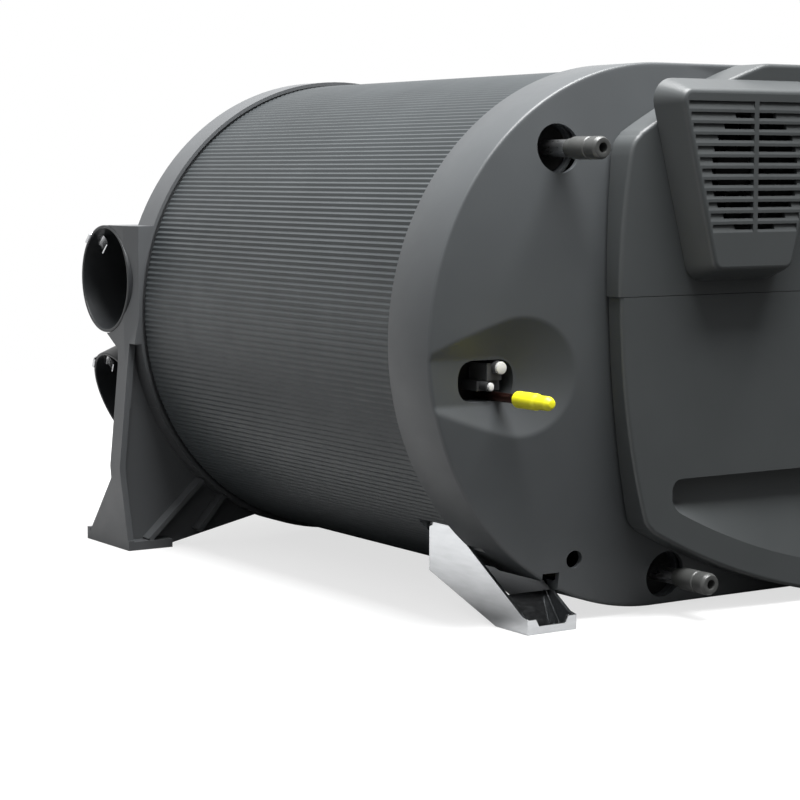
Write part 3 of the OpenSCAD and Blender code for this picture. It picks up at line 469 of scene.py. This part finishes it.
def drum_casing():
    """Casing with rounded ribs along it, set back from the frame ring by a shadow gap."""
    ribs = 280
    steps = 6 * ribs
    rib_depth = 0.7
    gap_r = 143.0
    back_x = -3.0
    front_x = CAP_X + 6.0
    slot_x = 254.0
    turn = np.linspace(0.0, 2 * math.pi, steps, endpoint=False)
    valley = 0.5 - 0.5 * np.cos(turn * ribs)
    stations = [(back_x, DRUM_IN, 0.0), (back_x, gap_r, 0.0), (1.6, gap_r, 0.0), (1.8, 144.8, 0.2),
                (2.5, 145.8, 0.9), (3.4, DRUM_R, 1.0), (front_x, DRUM_R, 1.0), (front_x, DRUM_IN, 0.0)]
    rings = [circle(x, r - share * rib_depth * valley, (0.0, 0.0), steps) for x, r, share in stations]
    obj = skin("drum_casing_skin", rings, loop=True)
    carve(obj, block((slot_x, CAP_X), (-RING_R, FLANGE_Y[1]), (FLOOR_Z, FLANGE_TOP)))
    return carve(obj, block((CAP_X - 1.0, CAP_X + 8.0), FLANGE_Y, (FLOOR_Z, FLANGE_TOP)))


def side_plate(outline, inner, side):
    """Closed plate for cutting, from an outline of X and Z, that runs out to one side."""
    outer = 175.0
    return skin("side_plate", [[(x, side * y, z) for x, z in outline] for y in (inner, outer)])


def rear_frame():
    """Frame with its strap set back from the front and its plate trimmed under the upper socket."""
    obj = bpy.data.objects.new("rear_frame_skin", frame["nodes"]["rear_frame"].data.copy())
    bpy.context.scene.collection.objects.link(obj)
    tidy_mesh(obj)
    strap_y = 147.3
    room_x = (-14.1, 3.0)
    ring_r = RING_R - 0.3
    front = [(-8.0, -19.0), (-8.0, -105.0), (-4.6, -145.0), (3.0, -145.0), (3.0, -19.0)]
    back = [(-22.3, -23.0), (-43.0, -11.0), (-43.0, -70.0), (-22.3, -70.0)]
    beside = [(-147.4, -19.0), (-151.4, -60.6), (-110.0, -60.6), (-110.0, -19.0)]
    for side in (-1, 1):
        room = slab("beside", [(-side * y, z) for y, z in beside], room_x)
        carve(room, rod((-60.0, 10.0), ring_r, (0.0, 0.0), 240))
        for cutter in (side_plate(front, strap_y, side), side_plate(back, 0.0, side), room):
            carve(obj, cutter)
    return obj


def by_duct(centre, tilt, side, depth, across, up):
    """Place at a duct socket, from the distances into its mouth, across it and up it."""
    lean = math.radians(tilt)
    y = depth * math.cos(lean) - up * math.sin(lean)
    z = depth * math.sin(lean) + up * math.cos(lean)
    return centre[0] + across, side * (centre[1] + y), centre[2] + z


def duct_socket(name, centre, tilt, side):
    """Duct tube with a rounded rim, opening away from the drum."""
    bore = 32.5
    out = 34.5
    length = 60.0
    steps = 96
    outline = fillet([(0.0, bore), (0.0, out), (length, out), (length, bore)], (0.9, 0.9, 0.3, 0.3))
    turn = np.linspace(0.0, 2 * math.pi, steps, endpoint=False)
    rings = []
    for depth, r in outline:
        columns = by_duct(centre, tilt, side, depth, r * np.cos(turn), r * np.sin(turn))
        rings.append(np.column_stack(columns))
    return skin(name, rings, loop=True)


def duct_clip(centre, tilt, side):
    """Spring clip bent over the rim of a duct socket, with a tongue that stands into the duct."""
    path = np.array([(9.0, 35.2), (0.4, 35.2), (-0.5, 34.8), (-0.7, 34.2), (-0.5, 33.6), (0.4, 33.2),
                     (6.5, 33.2), (8.4, 32.4), (9.4, 30.6), (9.7, 28.0), (9.3, 25.6), (8.2, 24.6)])
    half_t = 0.36
    half_w = 4.4
    turn = math.radians(41.0)
    along = np.gradient(path, axis=0)
    normals = np.column_stack([-along[:, 1], along[:, 0]]) / np.linalg.norm(along, axis=1)[:, None]
    rings = []
    for point, normal in zip(path, normals):
        ring = []
        for run, off in ((-half_w, -half_t), (half_w, -half_t), (half_w, half_t), (-half_w, half_t)):
            depth, r = point + off * normal
            across = run * math.cos(turn) - r * math.sin(turn)
            up = run * math.sin(turn) + r * math.cos(turn)
            ring.append(by_duct(centre, tilt, side, depth, across, up))
        rings.append(ring)
    return skin("clip", rings)


# End cap


def dome_x(y, z):
    """X of the domed face over a place."""
    off_axis = np.minimum(y * y + z * z, RING_R ** 2)
    return FACE_X + DOME_RISE - DOME_BALL + np.sqrt(DOME_BALL ** 2 - off_axis)


def smooth_min(a, b, k):
    """The lower of two values, blended where they come close."""
    h = np.clip(0.5 + 0.5 * (b - a) / k, 0.0, 1.0)
    return b * (1 - h) + a * h - k * h * (1 - h)


def funnel_x(y, z):
    """X of the plug funnel over a place: a flat floor drawn out to the rim between sloping sides."""
    floor_x = 329.5
    floor_r = 12.2
    slope = 22.0 / 9.0
    across = np.hypot(np.maximum(y - POCKET_AT[0], 0.0), z - POCKET_AT[1])
    return floor_x + np.maximum(across - floor_r, 0.0) / slope


def face_x(y, z):
    """X of the end face: the dome with the plug funnel blended into it."""
    return smooth_min(dome_x(y, z), funnel_x(y, z), 0.5)


def oval_path():
    """Points round the oval with their nearest points on its middle line, finest at the funnel."""
    spans = [(90.0, 156.0, 34), (156.0, 222.0, 132), (222.0, 270.0, 33)]
    left = np.concatenate([np.linspace(start, end, count, endpoint=False) for start, end, count in spans])
    right = np.linspace(270.0, 450.0, 60, endpoint=False)
    run = np.linspace(0.0, STRETCH, 36, endpoint=False)
    out = []
    for t in np.radians(left):
        out.append((0.0, math.cos(t), math.sin(t)))
    for y in run:
        out.append((y, 0.0, -1.0))
    for t in np.radians(right):
        out.append((STRETCH, math.cos(t), math.sin(t)))
    for y in STRETCH - run:
        out.append((y, 0.0, 1.0))
    return np.array(out)


def end_cap():
    """Oval dish with the domed face, its funnel and holes, the rolled rim and the back wall."""
    path = oval_path()
    wall = 4.0
    skin_t = 3.0
    roll = 1.6
    fine_from = 95.0

    def ring(inset, x):
        y = path[:, 0] + (RING_R - inset) * path[:, 1]
        z = (RING_R - inset) * path[:, 2]
        level = x(y, z) if callable(x) else np.broadcast_to(x, y.shape)
        return np.column_stack([level, y, z])

    insets = np.concatenate([np.linspace(RING_R, fine_from, 10, endpoint=False),
                             np.linspace(fine_from, roll, 94)])
    edge = ring(roll, face_x)[:, 0]
    rings = [ring(inset, face_x) for inset in insets]
    for inset, drop in ((0.8, 0.25), (0.25, 0.8), (0.0, 1.7)):
        rings.append(ring(inset, edge - drop))
    for inset, x in ((0.0, CAP_X + 0.8), (0.25, CAP_X + 0.2), (0.8, CAP_X), (wall, CAP_X)):
        rings.append(ring(inset, x))
    rings.append(ring(wall, edge - wall))
    for inset in insets[::-1]:
        if inset > wall:
            rings.append(ring(inset, lambda y, z: face_x(y, z) - skin_t))
    shell = skin("end_cap_skin", rings, ends=False)
    carve(shell, joined("cuts", face_holes() + foot_notches()))
    parts = [shell, overhang_back(), port_sleeve()]
    well = [(317.0, 13.05), (317.0, 14.6), (327.5, 14.6), (327.5, 13.05)]
    for at in (HOT_AT, COLD_AT):
        parts.append(turned("well", well, at, 64))
    return joined("end_cap_skin", parts)


def face_holes():
    """Rods and a slot for cutting the holes of the water pipes, the drain and the plugs."""
    x = (300.0, 352.0)
    well_r = 13.0
    drain_r = 4.9
    return [rod(x, well_r, HOT_AT), rod(x, well_r, COLD_AT), rod(x, drain_r, DRAIN_AT, 40),
            slab("port", port_outline(0.0), x)]


def foot_notches():
    """Blocks for cutting the room of the metal feet into the rim, near and far."""
    below = -160.0
    notch_y = (-76.0, -65.7)
    notch_top = -123.5
    cuts = []
    for turn in (lambda y: y, lambda y: STRETCH - y):
        flange = sorted(turn(y) for y in FLANGE_Y)
        notch = sorted(turn(y) for y in notch_y)
        cuts.append(block((CAP_X - 2.0, 306.0), flange, (below, FLANGE_TOP)))
        cuts.append(block((CAP_X - 2.0, FACE_X + 3.0), notch, (below, notch_top)))
    return cuts


def port_outline(grow):
    """Outline of the plug port, a lying slot with round ends."""
    half_y = 17.5
    half_z = 11.0
    end_r = 10.5
    y = (PORT_AT[0] - half_y - grow, PORT_AT[0] + half_y + grow)
    z = (PORT_AT[1] - half_z - grow, PORT_AT[1] + half_z + grow)
    return fillet([(y[0], z[0]), (y[1], z[0]), (y[1], z[1]), (y[0], z[1])], end_r + grow, 10)


def port_sleeve():
    """Short tunnel behind the port."""
    back_x = 312.0
    front_x = 327.0
    wall = 2.0
    play = 0.02
    rings = []
    for x, grow in ((back_x, wall), (front_x, wall), (front_x, play), (back_x, play)):
        rings.append([(x, y, z) for y, z in port_outline(grow)])
    return skin("port_sleeve", rings, loop=True)


def overhang_back():
    """Back wall of the part of the oval that stands out past the drum, with its two stub holes."""
    hole_r = DRUM_R + 0.5
    out_r = RING_R - 3.5
    back_x = CAP_X + 0.05
    front_x = CAP_X + 3.8
    sections = []
    for t in np.radians(np.linspace(-90.0, 90.0, 73)):
        inner = (hole_r * math.cos(t), hole_r * math.sin(t))
        outer = oval_edge((math.degrees(t) + 90.0) / 180.0, out_r)
        sections.append([(back_x, *outer), (back_x, *inner), (front_x, *inner), (front_x, *outer)])
    obj = skin("overhang_back", sections)
    for stub_at, stub_r in (((208.0, 34.0), 12.3), ((208.0, -42.0), 15.3)):
        carve(obj, rod((CAP_X - 2.0, CAP_X + 8.0), stub_r, stub_at))
    return obj


def oval_edge(share, r):
    """Place on the overhanging half of an oval, from its lowest near point to its highest."""
    arc = math.pi * r
    total = arc + 2 * STRETCH
    run = share * total
    if run < STRETCH:
        return run, -r
    if run > STRETCH + arc:
        return total - run, r
    t = (run - STRETCH) / r - math.pi / 2
    return STRETCH + r * math.cos(t), r * math.sin(t)


# Covers


def cover_path():
    """Core points and outward normals of the cover outline, from the shapes that bound it."""
    corner = 12.0
    inner_y = 130.0
    outer = 400.0
    steps = 540
    corner_steps = 12
    rounds = [((386.0, 25.0), 430.0), LOW_ROUND, ((179.6, -253.8), 420.0)]
    oval_r = RING_R - 1.5

    def gaps(p):
        middle = (min(max(p[0], 0.0), STRETCH), 0.0)
        out = [(math.hypot(p[0] - middle[0], p[1]) - oval_r + corner, middle)]
        for centre, r in rounds:
            out.append((math.hypot(p[0] - centre[0], p[1] - centre[1]) - r + corner, centre))
        return out

    def hit(turn):
        low = 0.0
        high = outer
        for _ in range(48):
            mid = 0.5 * (low + high)
            p = (inner_y + mid * math.cos(turn), mid * math.sin(turn))
            if max(g[0] for g in gaps(p)) < 0:
                low = mid
            else:
                high = mid
        found = gaps(p)
        which = max(range(len(found)), key=lambda i: found[i][0])
        centre = found[which][1]
        angle = math.atan2(p[1] - centre[1], p[0] - centre[0])
        return which, p, angle

    out = []
    hits = [hit(2 * math.pi * i / steps) for i in range(steps)]
    for i, (which, p, angle) in enumerate(hits):
        out.append((p[0], p[1], angle))
        nxt = hits[(i + 1) % steps]
        if nxt[0] != which:
            q = (0.5 * (p[0] + nxt[1][0]), 0.5 * (p[1] + nxt[1][1]))
            step = (nxt[2] - angle + math.pi) % (2 * math.pi) - math.pi
            for share in np.linspace(0.0, 1.0, corner_steps)[1:-1]:
                out.append((q[0], q[1], angle + share * step))
    out = np.array(out)
    points = out[:, :2]
    normals = np.column_stack([np.cos(out[:, 2]), np.sin(out[:, 2])])
    return points, normals, corner


def cover_shell(name, grow):
    """Hollow cover with a rounded front edge that stands on the dome."""
    points, normals, corner = cover_path()
    edge = 2.2
    wall = 3.0
    gap = 1.5

    def ring(offset, x):
        flat = points + (corner + grow + offset) * normals
        return np.column_stack([np.full(len(flat), x), flat])

    def standing(offset, rise):
        flat = points + (corner + grow + offset) * normals
        return ring(offset, dome_x(flat[:, 0], flat[:, 1]) + rise)

    under_x = COVER_X - wall
    rings = [ring(-5.0, under_x), ring(-wall - 0.6, under_x), ring(-wall, under_x - 1.5),
             standing(-wall, SEAT), standing(-gap, SEAT), standing(-gap, gap), standing(-0.4, gap),
             standing(0.0, gap + 0.4)]
    for turn in np.radians(np.linspace(0.0, 90.0, 9)):
        rings.append(ring(-edge + edge * math.cos(turn), COVER_X - edge + edge * math.sin(turn)))
    return skin(name, rings)


def flat_front(obj, x):
    """Keeps the edges in a front plane crisp, so that the plane shades flat."""
    near = 5e-6
    bm = bmesh.new()
    bm.from_mesh(obj.data)
    level = to_frame((x, 0.0, 0.0))[0]
    for edge in bm.edges:
        if all(abs(vert.co.x - level) < near for vert in edge.verts):
            edge.smooth = False
    bm.to_mesh(obj.data)
    bm.free()
    return obj


def grip_low_z(y):
    """Height of the lower edge of the grip recess, a little above the lower edge of the cover."""
    centre, r = LOW_ROUND
    rim = 17.0
    return centre[1] - math.sqrt((r - rim) ** 2 - (y - centre[0]) ** 2)


def grip_body(name, grow, x1):
    """Recess with a flat floor under its straight top edge and a wall that opens out to the right."""
    depth = 9.0
    y0 = -8.0
    y1 = 150.0
    top_z = -75.0
    foot_z = -88.0
    ends = [(0.0, 0.35), (0.8, 0.62), (2.2, 0.84), (4.5, 0.97), (7.0, 1.0)]
    left = [(y0 - grow + run, share) for run, share in ends]
    right = [(y1 + grow - run, share) for run, share in reversed(ends)]
    middle = [(y, 1.0) for y in np.linspace(4.0, 138.0, 42)]
    past_front = max(x1 - COVER_X, 0.0)
    sections = []
    for y, share in left + middle + right:
        low = min(grip_low_z(min(max(y, y0), y1)), -91.5) - grow
        top = top_z + grow
        mid = 0.5 * (max(low, -100.0) + top)
        top = mid + (top - mid) * share
        low = mid + (low - mid) * share
        deep = COVER_X - depth * share - grow
        foot = max(foot_z - grow, low + 1.6)
        slope = (foot - low) / (COVER_X - grow - deep)
        outline = [(x1, top), (deep + 1.0, top), (deep + 0.3, top - 0.25), (deep, top - 1.0),
                   (deep, foot + 1.2), (deep + 0.5, foot - 0.4), (COVER_X - grow, low),
                   (x1, low - slope * past_front)]
        sections.append([(x, y, z) for x, z in outline])
    return skin(name, sections)


def cover_room(z):
    """Block for cutting the covers over a range of heights."""
    return block((320.0, 370.0), (-120.0, 340.0), z)


def lower_cover():
    """Cover below the seam, with its grip recess."""
    obj = cover_shell("lower_cover_skin", 0.0)
    carve(obj, grip_body("grip_wall", 3.0, COVER_X - 1.0), "UNION")
    carve(obj, grip_body("grip_room", 0.0, COVER_X + 3.0))
    return flat_front(carve(obj, cover_room((SEAM_Z[0], 200.0))), COVER_X)


def upper_cover():
    """Cover above the seam, a little prouder, with the opening of the fan."""
    fan_r = 33.3
    obj = cover_shell("upper_cover_skin", 1.2)
    carve(obj, cover_room((-200.0, SEAM_Z[1])))
    return flat_front(carve(obj, rod((340.0, 370.0), fan_r, GRILLE_AT)), COVER_X)


# Intake grille


def rounded_path(corners, corner):
    """Core points and normals of a convex outline with round corners, given anticlockwise."""
    steps = 8
    corners = np.asarray(corners, float)
    edges = np.roll(corners, -1, axis=0) - corners
    normals = np.column_stack([edges[:, 1], -edges[:, 0]]) / np.linalg.norm(edges, axis=1)[:, None]
    points = []
    turns = []
    for i, at in enumerate(corners):
        before = normals[i - 1]
        after = normals[i]
        limit = np.array([before @ at - corner, after @ at - corner])
        core = np.linalg.solve(np.array([before, after]), limit)
        a = math.atan2(before[1], before[0])
        step = (math.atan2(after[1], after[0]) - a) % (2 * math.pi)
        for share in np.linspace(0.0, 1.0, steps):
            points.append(core)
            turns.append(a + share * step)
    turns = np.array(turns)
    return np.array(points), np.column_stack([np.cos(turns), np.sin(turns)])


def beside_rib(side, half):
    """Range of Y from the grille's upright rib out to one side."""
    rib_half = 1.55
    return sorted((GRILLE_AT[0] + side * rib_half, GRILLE_AT[0] + side * half))


def grille_wedges():
    """Wedges for cutting the slats so that each one laps over the next."""
    low_z, top_z = GRILLE_Z
    low_half = 26.0
    widening = 25.0
    margin = 2.6
    wedges = []
    for i in range(-5, 7):
        z = GRILLE_AT[1] + SLOT_H / 2 + i * SLOT_PITCH
        half = low_half + widening * (z - low_z) / (top_z - low_z) - margin
        if low_z + 4.0 < z < top_z - 2.0:
            wedge = [(GRILLE_X + 0.4, z), (GRILLE_X - 1.5, z), (GRILLE_X + 0.4, z - 5.5)]
            for side in (-1, 1):
                rings = [[(x, y, h) for x, h in wedge] for y in beside_rib(side, half)]
                wedges.append(skin("wedge", rings))
    return joined("wedges", wedges)


def grille_slots():
    """Blocks for cutting the slots, within an oval over the fan."""
    oval_r = 30.0
    straight = 4.5
    x = (GRILLE_X - 6.0, GRILLE_X + 2.0)
    slots = []
    for i in range(-6, 7):
        z = GRILLE_AT[1] + i * SLOT_PITCH
        reach = max(abs(z - GRILLE_AT[1]) + SLOT_H / 2 - straight, 0.0)
        if reach < oval_r - 1.0:
            half = math.sqrt(oval_r ** 2 - reach ** 2)
            for side in (-1, 1):
                slots.append(block(x, beside_rib(side, half), (z - SLOT_H / 2, z + SLOT_H / 2)))
    return joined("slots", slots)


def intake_grille():
    """Raised housing with shingled slats, slots in an oval and one upright rib."""
    corner = 5.0
    wall = 3.0
    low_z, top_z = GRILLE_Z
    points, normals = rounded_path([(6.0, low_z), (58.0, low_z), (83.0, top_z), (-19.0, top_z)], corner)

    def ring(offset, x):
        flat = points + (corner + offset) * normals
        return np.column_stack([np.full(len(flat), x), flat])

    base_x = COVER_X + SEAT
    rings = [ring(-wall - 1.0, GRILLE_X - wall), ring(-wall + 1.0, GRILLE_X - wall - 2.0),
             ring(4.0, base_x), ring(7.0, base_x)]
    for offset, drop in ((1.5, 2.4), (1.1, 1.4), (0.5, 0.6), (-0.3, 0.15), (-1.2, 0.0)):
        rings.append(ring(offset, GRILLE_X - drop))
    obj = skin("intake_grille_skin", rings)
    carve(obj, grille_wedges())
    return flat_front(carve(obj, grille_slots()), GRILLE_X)


# Small fittings


def fuel_cap():
    """Soft two-step cap, fat towards the pipe and with round ends."""
    profile = [(347.5, 2.6), (347.5, 3.9), (348.4, 4.4), (364.2, 4.4), (365.3, 4.1), (366.4, 3.7),
               (374.4, 3.7), (377.3, 2.2), (377.5, 0.0), (372.5, 0.0), (372.5, 2.6)]
    outline = fillet(profile, (0.2, 0.8, 0.8, 0.8, 0.5, 0.8, 1.6, 1.2, 0.0, 0.0, 0.2))
    return turned("fuel_cap_skin", outline, FUEL_AT, 48)


def water_connector(name, at):
    """Push-in connector with a collar, grooves and a bevelled mouth."""
    profile = [(344.5, 4.6), (344.5, 5.0), (348.5, 5.0), (349.5, 6.0), (362.0, 6.0), (362.5, 5.5),
               (364.0, 5.5), (364.5, 6.0), (370.5, 6.0), (372.5, 5.0), (372.5, 2.6), (352.8, 2.6),
               (352.8, 4.6)]
    return turned(name, fillet(profile, 0.25, 2), at, 48)


def plug_seals():
    """White ends of the two plugs, a round one and a narrow one, with soft edges."""
    steps = 48
    turn = np.linspace(0.0, 2 * math.pi, steps, endpoint=False)
    parts = []
    for at, half in (((-104.6, -11.9), (3.3, 3.3)), ((-111.0, -21.5), (1.7, 2.2))):
        rings = []
        for x, inset in ((331.3, 0.0), (332.5, 0.0), (332.8, 0.15), (333.0, 0.5)):
            y = at[0] + (half[0] - inset) * np.cos(turn)
            z = at[1] + (half[1] - inset) * np.sin(turn)
            rings.append(np.column_stack([np.full(steps, x), y, z]))
        parts.append(skin("seal", rings))
    return joined("plug_seals_skin", parts)


# Put the new skins in place


place(drum_casing(), "drum_casing", MATERIALS["drum_plastic"])
place(rear_frame(), "rear_frame", MATERIALS["frame_plastic"])
place(end_cap(), "end_cap", MATERIALS["shell_plastic"])
place(lower_cover(), "lower_cover", MATERIALS["cover_plastic"])
place(upper_cover(), "upper_cover", MATERIALS["cover_plastic"])
place(intake_grille(), "intake_grille", MATERIALS["cover_plastic"])
place(fuel_cap(), "fuel_cap", MATERIALS["yellow_plastic"], "fuel_pipe_cap")
place(water_connector("hot_connector_skin", HOT_AT), "hot_connector", MATERIALS["connector_plastic"])
place(water_connector("cold_connector_skin", COLD_AT), "cold_connector", MATERIALS["connector_plastic"])
place(plug_seals(), "plug_seals", MATERIALS["white_plastic"])
clips = []
for side_name, side in (("near", 1), ("far", -1)):
    for level, centre, tilt in SOCKETS:
        socket_node = "duct_socket_" + side_name + "_" + level
        socket = duct_socket(socket_node + "_skin", centre, tilt, side)
        place(socket, socket_node, MATERIALS["socket_plastic"])
        clips.append(duct_clip(centre, tilt, side))
place(joined("duct_clips_skin", clips), "duct_clips", MATERIALS["spring_steel"])


# Finish on the CAD nodes that stay


# Width in millimetres of the bevel on their edges
EDGE_ROUND = {
    "air_manifold": 0.6,
    "manifold_screws": 0.3,
    "front_foot_near": 0.4,
    "front_foot_far": 0.4,
    "exhaust_pipe": 0.3,
    "combustion_air_stub": 0.4,
    "power_plug": 0.5,
    "bus_plug": 0.5,
    "connector_block": 0.4,
}

# Nodes whose finish isn't the one of their slot
OWN_FINISH = {
    "power_plug": plastic("plug_grey", (84, 85, 86), 0.4),
    "bus_plug": plastic("plug_dark", (66, 67, 68), 0.4),
    "fuel_pipe": metal("dark_copper", (92, 60, 54), 0.35),
    "front_foot_near": sheet_painted_dark_in_fold("front_foot_near"),
    "front_foot_far": sheet_painted_dark_in_fold("front_foot_far"),
}


def finish_cad(node):
    """Gives a CAD node its material and, where it has one, its bevel.

    A bevelled node also loses its stored normals and is shaded smooth. Its points stay as they are.
    """
    obj = frame["nodes"][node]
    obj.data.materials.clear()
    obj.data.materials.append(OWN_FINISH.get(node) or MATERIALS[SLOT_OF[node]])
    if node not in EDGE_ROUND:
        return
    normals = obj.data.attributes.get("custom_normal")
    if normals is not None:
        obj.data.attributes.remove(normals)
    for face in obj.data.polygons:
        face.use_smooth = True
    round_edges(obj, EDGE_ROUND[node])


for cad_node in frame["nodes"]:
    if not frame["nodes"][cad_node].hide_render:
        finish_cad(cad_node)


# Floor, light and camera


def mirrored(tree, path):
    """One for rays that show a background in gloss, metal or glass."""
    return combined(tree, "MAXIMUM", path.outputs["Is Glossy Ray"], path.outputs["Is Transmission Ray"])


def forward(tree, vector):
    """How far a vector points to the front right."""
    node = tree.nodes.new("ShaderNodeVectorMath")
    node.operation = "DOT_PRODUCT"
    node.inputs[1].default_value = (0.839, 0.544, 0.0)
    tree.links.new(vector, node.inputs[0])
    return node.outputs["Value"]


def mixed(tree, share, first, second):
    """Shader between two others."""
    mix = tree.nodes.new("ShaderNodeMixShader")
    tree.links.new(share, mix.inputs["Fac"])
    tree.links.new(first, mix.inputs[1])
    tree.links.new(second, mix.inputs[2])
    return mix.outputs["Shader"]


def floor_gloss(tree, coords):
    """Floor as gloss shows it, with painted shade under the part, and darker towards the front right."""
    at = axes(tree, coords)
    # Painted shade in the floor's colour for reflections: darker under the part, and darker towards the
    # front right.
    beside = eased(tree, at["Y"], -0.1, -0.085, 1.0, 0.1)
    before = eased(tree, at["X"], 0.35, 0.37, 0.1, 1.0)
    ahead = eased(tree, forward(tree, coords), 0.3, 0.4, 0.35, 0.04)
    level = combined(tree, "MULTIPLY", combined(tree, "MAXIMUM", beside, before), ahead)
    gloss = tree.nodes.new("ShaderNodeBsdfDiffuse")
    tree.links.new(level, gloss.inputs["Color"])
    return gloss.outputs["BSDF"]


def floor_pale(tree, shader):
    """Floor as the camera shows it: nearly white, with the shadow."""
    tone = two_tone(tree, noise(tree, 3.0, 2.0), (0.93, 0.93, 0.93, 1.0), (0.95, 0.95, 0.95, 1.0))
    shader.inputs["Roughness"].default_value = 1.0
    shader.inputs["Specular IOR Level"].default_value = 0.0
    tree.links.new(tone, shader.inputs["Base Color"])
    white = tree.nodes.new("ShaderNodeEmission")
    white.inputs["Color"].default_value = WHITE
    pale = tree.nodes.new("ShaderNodeMixShader")
    pale.inputs["Fac"].default_value = 0.7
    tree.links.new(shader.outputs["BSDF"], pale.inputs[1])
    tree.links.new(white.outputs["Emission"], pale.inputs[2])
    return pale.outputs["Shader"]


def floor():
    """Pale floor that keeps the shadow, throws little light back up and fades out further away."""
    half = 3000.0
    z = FLOOR_Z - 0.05
    corners = [(-half, -half, z), (half, -half, z), (half, half, z), (-half, half, z)]
    obj = new_object("floor", corners, [(0, 1, 2, 3)])
    material, tree, shader = start_material("floor")
    coords = tree.nodes.new("ShaderNodeTexCoord").outputs["Object"]
    path = tree.nodes.new("ShaderNodeLightPath")
    dim = tree.nodes.new("ShaderNodeBsdfDiffuse")
    dim.inputs["Color"].default_value = (0.05, 0.05, 0.05, 1.0)
    unseen = mixed(tree, mirrored(tree, path), dim.outputs["BSDF"], floor_gloss(tree, coords))
    near = mixed(tree, path.outputs["Is Camera Ray"], unseen, floor_pale(tree, shader))
    clear = tree.nodes.new("ShaderNodeBsdfTransparent")
    away = tree.nodes.new("ShaderNodeVectorMath")
    away.operation = "LENGTH"
    tree.links.new(coords, away.inputs[0])
    fade = eased(tree, away.outputs["Value"], 0.6, 1.3, 0.0, 1.0)
    whole = mixed(tree, fade, near, clear.outputs["BSDF"])
    tree.links.new(whole, tree.nodes["Material Output"].inputs["Surface"])
    obj.data.materials.append(material)


def sky():
    """White for the camera, dark towards the front right in gloss, with dim light from below."""
    world = bpy.data.worlds.new("room")
    world.use_nodes = True
    tree = world.node_tree
    coords = tree.nodes.new("ShaderNodeTexCoord").outputs["Generated"]
    at = axes(tree, coords)
    room = tree.nodes["Background"]
    room.inputs["Color"].default_value = WHITE
    tree.links.new(eased(tree, at["Z"], -0.1, 1.0, 0.06, 1.1), room.inputs["Strength"])
    backdrop = tree.nodes.new("ShaderNodeBackground")
    backdrop.inputs["Color"].default_value = WHITE
    ahead = eased(tree, forward(tree, coords), -0.3, 0.6, 1.0, 0.08)
    far = eased(tree, at["Y"], -0.55, 0.3, 0.62, 1.0)
    tree.links.new(combined(tree, "MULTIPLY", ahead, far), backdrop.inputs["Strength"])
    white = tree.nodes.new("ShaderNodeBackground")
    white.inputs["Color"].default_value = WHITE
    path = tree.nodes.new("ShaderNodeLightPath")
    lit = mixed(tree, mirrored(tree, path), room.outputs["Background"], backdrop.outputs["Background"])
    whole = mixed(tree, path.outputs["Is Camera Ray"], lit, white.outputs["Background"])
    tree.links.new(whole, tree.nodes["World Output"].inputs["Surface"])
    bpy.context.scene.world = world


def stand(name, data, right, up, back, position):
    """Puts a lamp or a camera in place, looking against its back direction."""
    obj = bpy.data.objects.new(name, data)
    columns = np.column_stack([right, up, back, position])
    obj.matrix_world = Matrix(np.vstack([columns, (0.0, 0.0, 0.0, 1.0)]).tolist())
    bpy.context.scene.collection.objects.link(obj)
    return obj


def top_light():
    """Soft light overhead, turned to the middle of the part."""
    light = bpy.data.lights.new("top_light", "AREA")
    light.shape = "RECTANGLE"
    light.size = 1.5
    light.size_y = 1.3
    light.energy = 124.0
    position = np.array((0.54, 0.02, 1.95))
    target = np.array((0.15, 0.0, 0.15))
    back = position - target
    back /= np.linalg.norm(back)
    right = np.cross((0.0, 1.0, 0.0), back)
    right /= np.linalg.norm(right)
    stand("top_light", light, right, np.cross(back, right), back, position)


def camera():
    """Stands where the photo was taken, before the covers, to the near side and a little above."""
    data = bpy.data.cameras.new("camera")
    data.lens = 101.57
    data.sensor_width = 36.0
    data.clip_end = 50.0
    right = (0.5438, 0.8392, 0.0)
    up = (-0.0847, 0.0549, 0.9949)
    back = (0.8349, -0.541, 0.1009)
    position = (1.3207, -0.7851, 0.2416)
    bpy.context.scene.camera = stand("camera", data, right, up, back, position)


floor()
sky()
top_light()
camera()
bpy.context.scene.view_settings.view_transform = "Standard"
